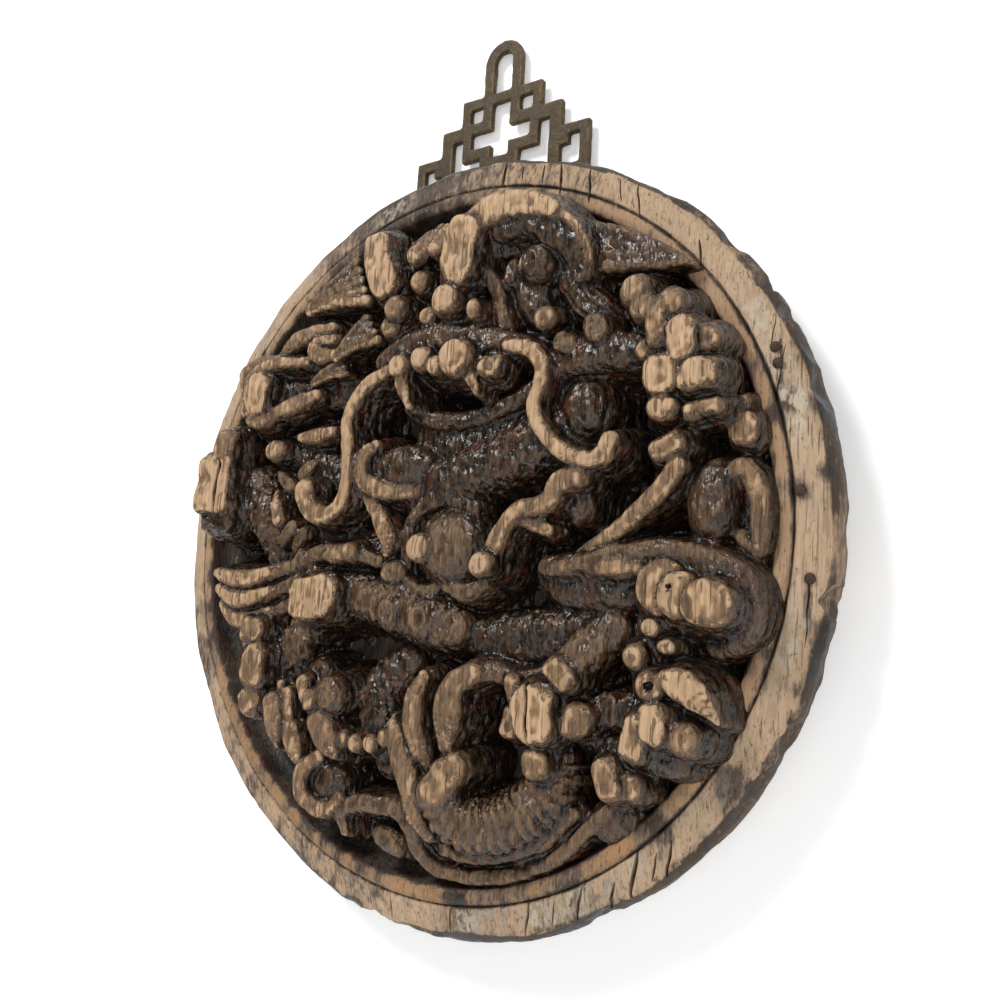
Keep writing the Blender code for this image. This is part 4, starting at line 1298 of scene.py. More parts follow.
    def dress(self, colour: object, roughness: object, normal: bpy.types.NodeSocket) -> bpy.types.Material:
        """Feeds the surface and gives the finished material.

        Args:
            colour: Its colour.
            roughness: Its roughness.
            normal: Its normal.

        Returns:
            The material.
        """
        self._feed(self.surface.inputs["Base Color"], colour)
        self._feed(self.surface.inputs["Roughness"], roughness)
        self.tree.links.new(normal, self.surface.inputs["Normal"])
        return self.material


@dataclass(frozen=True)
class WornLacquer:
    """Nearly black lacquer, worn to brown and then to bare tan wood on all that stands out, with painted
    shade in its recesses and painted glints among its cream flecks.
    """

    lacquer: Colour = (0.010, 0.0064, 0.0044)
    sheen: Colour = (0.046, 0.027, 0.015)
    brown: Colour = (0.094, 0.053, 0.027)
    grey: Colour = (0.225, 0.140, 0.072)
    tan: Colour = (0.42, 0.258, 0.138)
    pale: Colour = (0.60, 0.410, 0.245)
    rubbed_edge_and_shade: Colour = (0.300, 0.172, 0.083)
    red: Colour = (0.13, 0.024, 0.012)
    # Cream specks of old ground, also used as painted glints.
    cream_and_glint: Colour = (0.55, 0.47, 0.36)

    def material(self) -> bpy.types.Material:
        """Builds the finish.

        Returns:
            The material.
        """
        s = Shader("worn lacquered wood")
        patch = s.noise((55, 55, 38), 4)
        spots = s.noise((230, 230, 160), 5, 3.1)
        grain = s.noise((520, 520, 22), 5, 1.7, 0.6)
        streak = s.span(s.noise((430, 430, 11), 2, 9.4, 0.4), 0.60, 0.66)
        fine = s.noise((900, 900, 520), 4, 5.0)
        scales = s.cells((170, 170, 130))
        ridge = s.span(s.worn("edge"), -0.5, 0.7, -0.40, 0.42)
        wear = s.sum(s.worn("bare"), ridge)
        wear = s.sum(patch, 0.55, "MULTIPLY_ADD", s.sum(wear, -0.275))
        wear = s.sum(spots, 0.28, "MULTIPLY_ADD", s.sum(wear, -0.14))
        wear = s.sum(grain, 0.08, "MULTIPLY_ADD", s.sum(wear, -0.04))
        # Corners in recesses (the deep attribute) wear less, as lacquer survives there.
        wear = s.sum(s.worn("deep"), -0.60, "MULTIPLY_ADD", wear)
        wear = s.sum(s.sum(0.35, scales, "SUBTRACT"), 0.14, "MULTIPLY_ADD", wear)
        bare = s.span(wear, 0.50, 0.86)
        grimy = s.span(wear, 0.26, 0.54)
        rubbed = s.span(wear, -0.12, 0.30)
        fibre = s.noise((800, 800, 60), 4, 7.7, 0.6)
        dark = s.blend(s.span(spots, 0.4, 0.75), self.lacquer, self.sheen)
        red = s.sum(s.span(s.noise((75, 75, 60), 3, 8.3), 0.55, 0.64), s.span(fine, 0.45, 0.60), "MULTIPLY")
        dark = s.blend(s.sum(red, 0.8, "MULTIPLY"), dark, self.red)
        body = s.blend(s.sum(rubbed, s.span(fibre, 0.3, 0.62, 0.45, 1.0), "MULTIPLY"), dark, self.brown)
        body = s.blend(grimy, body, s.blend(s.span(grain, 0.35, 0.65), self.brown, self.grey))
        wood = s.blend(s.span(grain, 0.32, 0.68), self.tan, self.pale)
        wood = s.blend(s.span(patch, 0.52, 0.72, 0.0, 0.5), wood, self.grey)
        # Orange-brown where the bare wood turns down at its edges: partly thin lacquer left there, partly
        # painted shade on the rounded sides.
        wood = s.blend(s.span(wear, 0.60, 0.98), self.rubbed_edge_and_shade, wood)
        wood = s.blend(s.span(streak, 0.0, 1.0, 0.0, 0.75), wood, self.brown)
        body = s.blend(bare, body, wood)
        # Cream flecks on the darker lacquer: partly specks of old ground, partly painted glints.
        where = s.span(s.noise((60, 60, 60), 2, 12.0), 0.55, 0.62)
        flecks_and_glints = s.sum(s.span(fine, 0.67, 0.71), where, "MULTIPLY")
        body = s.blend(s.sum(flecks_and_glints, s.sum(0.8, bare, "SUBTRACT"), "MULTIPLY"), body, self.cream_and_glint)
        # Painted shade: recesses (the deep attribute) are blended towards black lacquer, to darken them as
        # shade would.
        body = s.blend(s.sum(s.worn("deep"), 0.75, "MULTIPLY"), body, self.lacquer)
        rough = s.sum(s.span(grimy, 0.0, 1.0, 0.0, 0.40), s.span(spots, 0.35, 0.65, 0.10, 0.34))
        height = s.sum(s.sum(fibre, streak, "SUBTRACT"), s.span(grimy, 0.0, 1.0, 0.15, 1.0), "MULTIPLY")
        folds = s.noise((130, 130, 90), 1.5, 6.3, 0.4)
        folds = s.sum(s.noise((380, 380, 110), 1.0, 2.7, 0.3), 0.30, "MULTIPLY_ADD", folds)
        domes = s.sum(s.sum(1.0, bare, "SUBTRACT"), s.sum(scales, -0.35, "MULTIPLY_ADD", folds), "MULTIPLY")
        broad = s.relief(s.sum(spots, 0.25, "MULTIPLY_ADD", domes), 5.0, 0.9)
        normal = s.relief(height, 1.1, 0.8, broad)
        s.surface.inputs["Specular IOR Level"].default_value = 0.5
        return s.dress(body, rough, normal)


@dataclass(frozen=True)
class DryWood:
    """The board's bare wood: beige on the face, torn and grey on the edge, with old chalk ground, and
    painted shade on the edge and in the sink.
    """

    beige: Colour = (0.40, 0.275, 0.172)
    straw: Colour = (0.57, 0.415, 0.275)
    umber: Colour = (0.060, 0.038, 0.024)
    grey: Colour = (0.16, 0.115, 0.080)
    orange: Colour = (0.33, 0.185, 0.088)
    chalk: Colour = (0.54, 0.455, 0.345)
    soot: Colour = (0.014, 0.010, 0.008)
    red: Colour = (0.15, 0.022, 0.010)

    def material(self) -> bpy.types.Material:
        """Builds the finish.

        Returns:
            The material.
        """
        s = Shader("dry wood of the board")
        patch = s.noise((36, 36, 22), 4, 2.2)
        spots = s.noise((210, 210, 120), 5, 4.1)
        grain = s.noise((560, 560, 26), 4, 0.7, 0.62)
        crack = s.span(s.noise((310, 310, 8), 3, 9.4), 0.66, 0.70)
        hairline = s.span(s.noise((800, 800, 14), 3, 14.2), 0.61, 0.66)
        pits = s.span(s.noise((420, 420, 260), 4, 6.6), 0.63, 0.68)
        wood = s.blend(s.span(grain, 0.3, 0.7), self.beige, self.straw)
        wood = s.blend(s.worn("warm"), wood, self.orange)
        # The soil mark carries painted shade as well as dirt: on the sink's inner wall and on the outer
        # edge.
        soil = s.sum(s.worn("soil"), s.sum(s.sum(patch, -0.5), 1.2, "MULTIPLY"))
        soil = s.sum(soil, s.sum(s.sum(spots, -0.5), 1.3, "MULTIPLY"))
        soil = s.sum(soil, s.sum(s.sum(grain, -0.5), 1.3, "MULTIPLY"))
        wood = s.blend(s.span(soil, 0.15, 0.62), wood, self.grey)
        wood = s.blend(s.span(soil, 0.50, 0.85), wood, self.umber)
        wood = s.blend(s.span(soil, 0.95, 1.25), wood, self.soot)
        chalk = s.sum(s.worn("chalk"), s.span(spots, 0.38, 0.6), "MULTIPLY")
        wood = s.blend(s.sum(chalk, s.span(patch, 0.35, 0.6), "MULTIPLY"), wood, self.chalk)
        red = s.sum(s.worn("red"), s.span(spots, 0.45, 0.6), "MULTIPLY")
        wood = s.blend(red, wood, self.red)
        wood = s.blend(s.sum(crack, 0.7, "MULTIPLY"), wood, self.umber)
        wood = s.blend(s.sum(hairline, 0.35, "MULTIPLY"), wood, self.umber)
        wood = s.blend(s.sum(pits, 0.6, "MULTIPLY"), wood, self.umber)
        height = s.sum(s.sum(crack, hairline), -0.8, "MULTIPLY_ADD", s.sum(grain, 0.9, "MULTIPLY"))
        normal = s.relief(height, 1.1, 0.8, s.relief(spots, 1.5, 0.6))
        return s.dress(wood, s.span(soil, 0.9, 1.2, 0.82, 0.45), normal)


@dataclass(frozen=True)
class AgedBronze:
    """Cast bronze, olive brown, polished a little on its edges and grimy in its corners."""

    olive: Colour = (0.060, 0.040, 0.018)
    gold: Colour = (0.165, 0.112, 0.048)
    grime: Colour = (0.020, 0.015, 0.009)

    def material(self) -> bpy.types.Material:
        """Builds the finish.

        Returns:
            The material.
        """
        s = Shader("aged bronze")
        s.surface.inputs["Metallic"].default_value = 0.4
        patch = s.noise((110, 110, 110), 4, 1.0)
        pits = s.noise((700, 700, 700), 4, 6.0)
        rub = s.sum(s.worn("edge"), s.sum(s.sum(patch, -0.5), 0.9, "MULTIPLY"))
        body = s.blend(s.span(rub, 0.05, 0.6), self.olive, self.gold)
        body = s.blend(s.span(pits, 0.55, 0.75, 0.0, 0.8), body, self.grime)
        body = s.blend(s.span(rub, -0.4, -0.05, 0.85, 0.0), body, self.grime)
        normal = s.relief(pits, 0.5, 0.7, s.relief(patch, 1.2, 0.5))
        return s.dress(body, s.span(pits, 0.3, 0.7, 0.5, 0.75), normal)


@dataclass(frozen=True)
class RustyIron:
    """Hand-made iron, dark with rust."""

    iron: Colour = (0.026, 0.019, 0.016)
    rust: Colour = (0.085, 0.040, 0.022)

    def material(self) -> bpy.types.Material:
        """Builds the finish.

        Returns:
            The material.
        """
        s = Shader("rusty iron")
        s.surface.inputs["Metallic"].default_value = 0.3
        pits = s.noise((600, 600, 600), 4, 2.0)
        body = s.blend(s.span(pits, 0.35, 0.65), self.iron, self.rust)
        return s.dress(body, s.span(pits, 0.3, 0.7, 0.5, 0.8), s.relief(pits, 0.5, 0.8))


@dataclass(frozen=True)
class PaleWall:
    """The plain pale wall and floor round the panel: seen through from behind, so that the back shows."""

    white: Colour = (0.93, 0.93, 0.93)
    glow: float = 0.3

    def material(self) -> bpy.types.Material:
        """Builds the finish.

        Returns:
            The material.
        """
        s = Shader("pale wall")
        behind = s.tree.nodes.new("ShaderNodeNewGeometry").outputs["Backfacing"]
        clear = s.tree.nodes.new("ShaderNodeBsdfTransparent")
        mixed = s.tree.nodes.new("ShaderNodeMixShader")
        s.tree.links.new(behind, mixed.inputs[0])
        s.tree.links.new(s.surface.outputs["BSDF"], mixed.inputs[1])
        s.tree.links.new(clear.outputs["BSDF"], mixed.inputs[2])
        s.tree.links.new(mixed.outputs["Shader"], s.tree.nodes["Material Output"].inputs["Surface"])
        s.surface.inputs["Base Color"].default_value = (*self.white, 1.0)
        s.surface.inputs["Roughness"].default_value = 0.9
        s.surface.inputs["Emission Color"].default_value = (1.0, 1.0, 1.0, 1.0)
        s.surface.inputs["Emission Strength"].default_value = self.glow
        return s.material


def neighbour_mean(values: np.ndarray, edges: np.ndarray, count: np.ndarray) -> np.ndarray:
    """Averages each corner's value over the corners it shares an edge with.

    Args:
        values: One row for each corner.
        edges: Pairs of corner numbers.
        count: How many edges each corner has.

    Returns:
        One row for each corner.
    """
    total = np.zeros_like(values)
    for column in range(values.shape[1]):
        total[:, column] = (np.bincount(edges[:, 0], values[edges[:, 1], column], len(values))
                            + np.bincount(edges[:, 1], values[edges[:, 0], column], len(values)))
    return total / np.maximum(count, 1)[:, None]


def edges_of(faces: np.ndarray) -> np.ndarray:
    """Lists each edge of the faces once."""
    sides = np.concatenate([faces[:, [i, (i + 1) % faces.shape[1]]] for i in range(faces.shape[1])])
    return np.unique(np.sort(sides, axis=1), axis=0)


def normals_of(points: np.ndarray, faces: np.ndarray) -> np.ndarray:
    """Gives each corner's outward direction.

    Args:
        points: Corner places.
        faces: Rows of four corner numbers.

    Returns:
        One row for each corner.
    """
    across = np.cross(points[faces[:, 2]] - points[faces[:, 0]], points[faces[:, 3]] - points[faces[:, 1]])
    total = np.stack([sum(np.bincount(faces[:, i], across[:, axis], len(points)) for i in range(4))
                      for axis in range(3)], axis=1)
    return total / np.maximum(np.linalg.norm(total, axis=1), 1e-9)[:, None]


def ridges(points: np.ndarray, faces: np.ndarray, normals: np.ndarray, rounds: int) -> np.ndarray:
    """Measures how far each corner stands out of its surroundings, in the points' units.

    Args:
        points: Corner places.
        faces: Rows of four corner numbers.
        normals: Outward directions.
        rounds: How often the surroundings are averaged.

    Returns:
        One number for each corner, above 0 on a ridge.
    """
    edges = edges_of(faces)
    count = np.bincount(edges.ravel(), minlength=len(points))
    smooth = points
    for _ in range(rounds):
        smooth = neighbour_mean(smooth, edges, count)
    return np.sum((points - smooth) * normals, axis=1)


def keep_normals(thing: bpy.types.Object, normals: np.ndarray) -> None:
    """Sets a piece's shading directions, so that it meets the next piece without a seam."""
    thing.data.normals_split_custom_set_from_vertices(normals.astype(np.float32))


@dataclass
class Carving:
    """The whole relief: all the sculptures on one grid, then one piece for each sculpture."""

    sculptures: tuple[Sculpture, ...]
    step: float = 1.3
    roughen: float = 0.62
    fill: float = 0.74

    def _grid(self) -> Grid:
        """Carves every form.

        Returns:
            The carved grid.
        """
        grid = Grid(step=self.step)
        for number, sculpture in enumerate(self.sculptures):
            grid.owner = number
            for form in sculpture.forms():
                form.carve(grid)
        self._bed(grid)
        return grid

    def _bed(self, grid: Grid) -> None:
        """Fills the gaps between the forms with the rough wood that they grow out of.

        Args:
            grid: The grid to carve in.
        """
        grid.owner = 1
        tops = averaged(averaged(grid.tops(), int(7 / grid.step)), int(5 / grid.step))
        tops = tops[:len(grid.xs), :len(grid.zs)]
        x, z = np.meshgrid(grid.xs[:tops.shape[0]], grid.zs[:tops.shape[1]], indexing="ij")
        flat = np.stack([x.ravel(), z.ravel(), np.zeros(x.size)], axis=1)
        folds = (np.abs(noise(flat, (17, 24, 9), SEED + 40)) * 9
                 + np.abs(noise(flat, (8, 12, 9), SEED + 41)) * 5 - 1.5).reshape(x.shape)
        inside = smooth_step(246, 236, np.hypot(x, z))
        level = GROUND - 2 + (tops - GROUND) * self.fill * inside + (folds - 3) * inside
        distance = (grid.hs[None, None, :] - level[:, :, None]) * 0.7
        where = (slice(0, tops.shape[0]), slice(0, tops.shape[1]))
        grid.add(where, distance.astype(np.float32), np.zeros_like(distance, dtype=np.float32), 4.0)

    def _sheltered_and_shaded(self, grid: Grid, corners: np.ndarray) -> np.ndarray:
        """Tells how far each corner lies below what is round it, from 0 to 1; the lacquer wears less there
        and is painted with shade there.

        Args:
            grid: The carved grid.
            corners: Corner places.

        Returns:
            One number for each corner.
        """
        mean = averaged(grid.tops(), int(14 / grid.step))
        i = np.clip(((corners[:, 0] - grid.xs[0]) / grid.step).astype(int), 0, mean.shape[0] - 1)
        j = np.clip(((corners[:, 1] - grid.zs[0]) / grid.step).astype(int), 0, mean.shape[1] - 1)
        return np.clip((mean[i, j] - corners[:, 2]) / 16, 0, 1)

    def build(self, finish: bpy.types.Material) -> list[bpy.types.Object]:
        """Makes the pieces.

        Args:
            finish: The material of the carving.

        Returns:
            One object for each sculpture.
        """
        grid = self._grid()
        surface = wrap(grid)
        points = surface.corners
        normals = normals_of(points, surface.faces)
        dark = 1 - surface.bare
        push = (noise(points, (11, 16, 11), SEED) * 0.9 + noise(points, (4.5, 6, 4.5), SEED + 1) * 0.6
                + noise(points, (2.4, 9, 3), SEED + 2) * (0.1 + 0.2 * surface.bare)
                - np.abs(noise(points, (9, 13, 9), SEED + 3)) * 1.5 * dark
                - np.abs(noise(points, (5, 6.5, 5), SEED + 4)) * 0.4 * dark + 0.4 * dark) * self.roughen
        low = points[surface.faces][:, :, 2].max(axis=1) < GROUND - 1.2
        points = points + normals * push[:, None]
        wear_shelter_and_shade = self._sheltered_and_shaded(grid, points)
        edge = ridges(points, surface.faces, normals, 4)
        normals = normals_of(points, surface.faces)
        placed = to_world(points)
        facing = np.stack([normals[:, 0], -normals[:, 2], normals[:, 1]], axis=1)
        owner = surface.owner[surface.faces[:, 0]]
        made = []
        for number, sculpture in enumerate(self.sculptures):
            faces = surface.faces[(owner == number) & ~low]
            used, local = np.unique(faces, return_inverse=True)
            values = {"bare": surface.bare[used], "edge": edge[used], "deep": wear_shelter_and_shade[used]}
            piece = mesh_piece(sculpture.name, placed[used], local.reshape(faces.shape), values, finish)
            keep_normals(piece, facing[used])
            log.info("%s: %d faces", sculpture.name, len(faces))
            made.append(piece)
        return made


@dataclass
class Board:
    """The round board: raised rim band, dark groove, bead, sunk ground, torn edge and flat back."""

    around: int = 1260
    back_radius: float = 268.0
    band: float = 21.2
    band_height: float = 6.8
    groove_height: float = 4.4
    bead_width: float = 11.5
    bead_height: float = 8.8
    ragged: float = 1.6
    split_depth: float = 14.0
    splits: tuple[tuple[float, float, float, float, float], ...] = (
        (38, 266, 26, 2.4, -4), (72, 259, 18, 1.8, -6), (88, 250, 34, 2.2, -8), (112, 240, 36, 2.4, -9),
        (150, 222, 34, 1.6, -12), (196, 176, 22, 2.0, -6), (91, -253, 28, 2.0, 12), (128, -237, 24, 2.0, 12),
        (150, -229, 22, 2.0, 14), (165, -212, 34, 3.0, 14), (187, -200, 26, 2.0, 12), (30, -266, 20, 1.6, 6),
        (-22, -268, 22, 1.2, 0), (-70, 262, 16, 1.0, 4), (54, 264, 16, 1.2, -5), (136, 232, 20, 1.2, -10),
        (178, -206, 20, 1.4, 14), (110, -246, 18, 1.2, 12), (249, 90, 44, 1.0, 6), (244, 118, 28, 0.9, 4),
        (267, -50, 44, 1.0, 3),
    )
    bites: tuple[tuple[float, float, float], ...] = (
        (33, 9, 4), (28, 7, 3), (41, 12, 3), (17, 14, 3), (-9, 10, 4), (-26, 12, 3), (128, 16, 3),
        (152, 14, 4), (212, 18, 4), (231, 12, 3), (262, 16, 3), (300, 14, 4), (97, 12, 2),
    )

    def _profile(self) -> np.ndarray:
        """Gives the section as rows of (radius, height), from the back's middle round to the front's.

        Returns:
            The rows.
        """
        thick = -RIM_TO_BACK
        groove = DISC_RADIUS - self.band
        middle = groove - self.bead_width / 2
        inner = groove - self.bead_width
        rows = [(r, thick) for r in (0.5, 60, 130, 200, 240, 258)]
        rows += [(self.back_radius, thick), (self.back_radius + 5.6, thick + 2.4),
                 (self.back_radius + 8, thick + 8)]
        rows += [(DISC_RADIUS + b, h) for b, h in ((-1.4, -31), (0.4, -26), (1.9, -21.5), (3.0, -17.5),
                                                   (3.9, -13.5), (4.0, -10), (3.5, -6.5), (2.6, -3.5),
                                                   (1.2, -1.2), (-0.6, 0.3))]
        rows += [(DISC_RADIUS - self.band * t, self.band_height * (0.12 + 0.9 * t ** 0.8))
                 for t in (0.10, 0.2, 0.3, 0.4, 0.5, 0.6, 0.7, 0.78)]
        rows += [(groove + 2.6, self.band_height * 0.93), (groove + 1.5, self.groove_height + 1.6),
                 (groove + 0.7, self.groove_height + 0.2), (groove - 0.3, self.groove_height - 0.5)]
        rows += [(middle + self.bead_width / 2 * math.cos(math.radians(a)),
                  self.groove_height + (self.bead_height - self.groove_height) * math.sin(math.radians(a)))
                 for a in range(12, 181, 21)]
        rows += [(inner - 0.8, 1.0), (inner - 1.8, -3.0), (inner - 4, -8.0), (inner - 9, GROUND)]
        rows += [(r, GROUND) for r in (226, 218, 210, 202, 194, 184, 172, 158, 140, 115, 80, 40, 0.5)]
        return np.array(rows)

    def _points(self) -> np.ndarray:
        """Gives the corners in layout millimetres, ring by ring.

        Returns:
            One row for each corner.
        """
        profile = self._profile()
        bearing = np.arange(self.around) * 2 * math.pi / self.around
        r = np.repeat(profile[:, 0][:, None], self.around, axis=1)
        h = np.repeat(profile[:, 1][:, None], self.around, axis=1)
        angle = np.repeat(bearing[None], len(profile), axis=0)
        ring = np.stack([np.cos(angle) * DISC_RADIUS, np.sin(angle) * DISC_RADIUS, h * 4], axis=2)
        ring = ring.reshape(-1, 3)
        outer = smooth_step(DISC_RADIUS - 10, DISC_RADIUS - 1, r)
        side = smooth_step(1.0, -3.0, h) * (h > -RIM_TO_BACK + 1)
        wander = noise(ring, (46, 46, 60), SEED + 5) * 1.7 + noise(ring, (15, 15, 30), SEED + 6) * 1.0
        torn = noise(ring, (15, 15, 60), SEED + 7) * 1.3 + noise(ring, (6, 6, 16), SEED + 8) * 0.5
        r = r + outer * wander.reshape(r.shape) * self.ragged * 0.6
        r = r + outer * side * torn.reshape(r.shape) * self.ragged * 0.85
        for centre, half, depth in self.bites:
            off = (np.degrees(angle) - centre + 180) % 360 - 180
            near = np.clip(1 - np.abs(off * math.radians(DISC_RADIUS)) / half, 0, 1) ** 0.5
            chip = 1 + 0.35 * noise(ring, (5, 5, 40), SEED + 9).reshape(r.shape)
            r = np.minimum(r, DISC_RADIUS + 4 - near * (depth + 3) * chip * smooth_step(-30, -12, h))
        band = smooth_step(DISC_RADIUS - 24, DISC_RADIUS - 18, r) * (h > -1)
        lift = noise(ring, (26, 26, 400), SEED + 3) * 0.5 + noise(ring, (6, 14, 400), SEED + 4) * 0.28
        h = h + (band * lift.reshape(h.shape))
        bead = (h > 2) * (1 - band)
        h = h - bead * np.clip(noise(ring, (14, 14, 400), SEED + 13), 0, 1).reshape(h.shape) * 1.3
        ground = (r < 238) & (h < GROUND + 1)
        rough = noise(ring, (12, 12, 400), SEED + 14).reshape(h.shape)
        h = h + ground * (0.8 * rough - 0.2) * (h > -RIM_TO_BACK + 1) * (r > 1)
        return np.stack([r * np.cos(angle), r * np.sin(angle), h], axis=2).reshape(-1, 3)

    def _faces(self, rings: int) -> np.ndarray:
        """Joins the rings with four-sided faces that point out.

        Args:
            rings: How many rings.

        Returns:
            Rows of four corner numbers.
        """
        i = np.arange(self.around)
        n = (i + 1) % self.around
        rows = []
        for ring in range(rings - 1):
            a = ring * self.around
            b = a + self.around
            rows.append(np.stack([a + i, b + i, b + n, a + n], axis=1))
        return np.concatenate(rows)

    def _marks(self, points: np.ndarray) -> dict[str, np.ndarray]:
        """Gives the soil with its painted shade, the warm tint, the chalk and the red of each corner.

        Args:
            points: Corner places, in layout millimetres.

        Returns:
            The marks by name.
        """
        h = points[:, 2]
        r = np.hypot(points[:, 0], points[:, 1])
        angle = np.arctan2(points[:, 1], points[:, 0])
        degrees = np.degrees((angle + math.pi) % (2 * math.pi) - math.pi)
        groove = DISC_RADIUS - self.band
        back = h < -RIM_TO_BACK + 3
        spread = np.where(back, r, DISC_RADIUS)
        around = np.stack([np.cos(angle) * spread, np.sin(angle) * spread, h], axis=1)
        patch = noise(around, (34, 34, 60), SEED + 20)
        front = h > -2
        side = (h < 0.5) & (r > 250)
        fine_patch = noise(around, (9, 12, 60), SEED + 21)
        in_groove = np.exp(-((r - groove - 0.1) / (1.5 + 0.8 * fine_patch)) ** 2) * front
        in_sink = smooth_step(groove - 8.6, groove - 11.4, r - 1.6 * fine_patch)
        upper = smooth_step(0.0, 1.0, np.cos(np.radians(degrees - 104)) * 10 - 8.9) * ~back
        lower = smooth_step(0.0, 1.0, np.cos(np.radians(degrees + 100)) * 1.6 - 0.3) * ~back
        right = smooth_step(-0.1, 0.7, np.cos(np.radians(degrees - 5))) * ~back
        soil = 0.15 + 0.60 * upper + 0.24 * lower + 0.24 * patch * (1 - 0.7 * right) + 0.20 * fine_patch
        soil = soil - 0.08 * right
        frayed = smooth_step(DISC_RADIUS - 6, DISC_RADIUS, r) * front
        # The outer edge (side) is darkened: partly grey torn end grain, partly painted shade.
        soil = soil + frayed * (0.10 + 0.35 * fine_patch) + side * (0.78 + 0.3 * patch) + back * 0.35
        on_bead = (r < groove) & (r > groove - 12) & front
        soil = soil + on_bead * 0.5 * np.clip(fine_patch + 0.6 * patch - 0.1, 0, 1)
        soil = np.maximum(soil, in_groove * (0.86 + 0.3 * patch))
        # Painted shade over the dark ground: the sink's inner wall below the bead goes dark towards soot, to
        # round the bead.
        soil = np.maximum(soil, in_sink * (1.15 + 0.2 * patch) * front)
        soil = np.where((r < groove - 13) & (h > GROUND - 4), 1.15 + 0.2 * patch, soil)
        stains = ((253, 76, 6, 10), (249, 92, 2, 14), (267, -48, 2.5, 18), (262, 20, 5, 6), (275, 31, 4, 5),
                  (226, -147, 10, 8), (223, -157, 7, 9), (180, -180, 10, 9))
        for x, z, wide, tall in stains:
            off = ((points[:, 0] - x) / wide) ** 2 + ((points[:, 1] - z) / tall) ** 2
            soil = soil + 0.75 * np.exp(-off) * front
        warm = 0.22 + on_bead * (0.42 + 0.35 * lower) + 0.15 * patch + side * 0.35
        top_left = smooth_step(0.5, 0.9, np.cos(np.radians(degrees - 140)))
        face = (r > groove + 2) * (r < DISC_RADIUS - 4) * front
        pale = smooth_step(0.0, 0.8, np.cos(np.radians(degrees + 24)))
        chalk = np.clip((0.9 * pale + 0.6 * top_left) * (0.55 + 0.9 * patch), 0, 1) * face
        red = np.clip(in_sink * front * (0.25 + 0.5 * patch), 0, 1)
        return {"soil": soil, "warm": np.clip(warm, 0, 1), "chalk": chalk, "red": red}

    def _cutters(self) -> list[bpy.types.Object]:
        """Makes the lenses that leave the splits, and the block of the hanger's housing.

        Returns:
            The cutters.
        """
        cage = bmesh.new()
        for x, z, length, width, lean in self.splits:
            size = Matrix.Diagonal((width / 2 * MM, self.split_depth * MM, length / 2 * MM, 1))
            place = Matrix.Translation(spot(x, z, 2)) @ Matrix.Rotation(math.radians(lean), 4, "Y") @ size
            made = bmesh.ops.create_icosphere(cage, subdivisions=2, radius=1, matrix=place)
            for vertex in made["verts"]:
                vertex.co.x += 0.4 * MM * math.sin(vertex.co.z * 330 + x) * min(1, length / 30)
        bmesh.ops.recalc_face_normals(cage, faces=cage.faces)
        mesh = bpy.data.meshes.new("splits")
        cage.to_mesh(mesh)
        cage.free()
        low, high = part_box("hanger")
        foot = bmesh.new()
        fit = 0.4 * MM
        wide = 46 * MM + fit
        bottom, top = low.z - fit, CENTRE_Z + 320 * MM
        front, back = low.y - fit, high.y + 20 * MM
        size = Matrix.Diagonal((wide * 2, back - front, top - bottom, 1))
        bmesh.ops.create_cube(foot, size=1, matrix=Matrix.Translation(
            (0, (front + back) / 2, (top + bottom) / 2)) @ size)
        housing = bpy.data.meshes.new("housing")
        foot.to_mesh(housing)
        foot.free()
        return [stand("splits", mesh), stand("housing", housing)]

    def build(self, finish: bpy.types.Material) -> bpy.types.Object:
        """Makes the board.

        Args:
            finish: The material of the board.

        Returns:
            The board's object.
        """
        points = self._points()
        board = mesh_piece("board", to_world(points), self._faces(len(points) // self.around), {}, finish)
        cage = bmesh.new()
        cage.from_mesh(board.data)
        bmesh.ops.remove_doubles(cage, verts=[v for v in cage.verts if math.hypot(
            v.co.x, v.co.z - CENTRE_Z) < 1 * MM], dist=1.5 * MM)
        bmesh.ops.recalc_face_normals(cage, faces=cage.faces)
        cage.to_mesh(board.data)
        cage.free()
        board.data.shade_smooth()
        for cutter in self._cutters():
            cut = board.modifiers.new(cutter.name, "BOOLEAN")
            cut.operation = "DIFFERENCE"
            cut.object = cutter
            cut.solver = "EXACT"
            cut_mesh = settled(board)
            board.modifiers.clear()
            board.data = cut_mesh
            bpy.data.objects.remove(cutter)
        board.data.materials.clear()
        board.data.materials.append(finish)
        board.data.set_sharp_from_angle(angle=math.radians(42))
        self._mark(board.data)
        return board

    def _mark(self, mesh: bpy.types.Mesh) -> None:
        """Keeps the marks of the finished mesh's corners as attributes.

        Args:
            mesh: The board's mesh.
        """
        places = np.empty(len(mesh.vertices) * 3)
        mesh.vertices.foreach_get("co", places)
        places = places.reshape(-1, 3)
        corners = np.stack([places[:, 0], places[:, 2] - CENTRE_Z, FRONT_Y - places[:, 1]], axis=1) / MM
        for key, value in self._marks(corners).items():
            mesh.attributes.new(key, "FLOAT", "POINT").data.foreach_set("value", value.astype(np.float32))


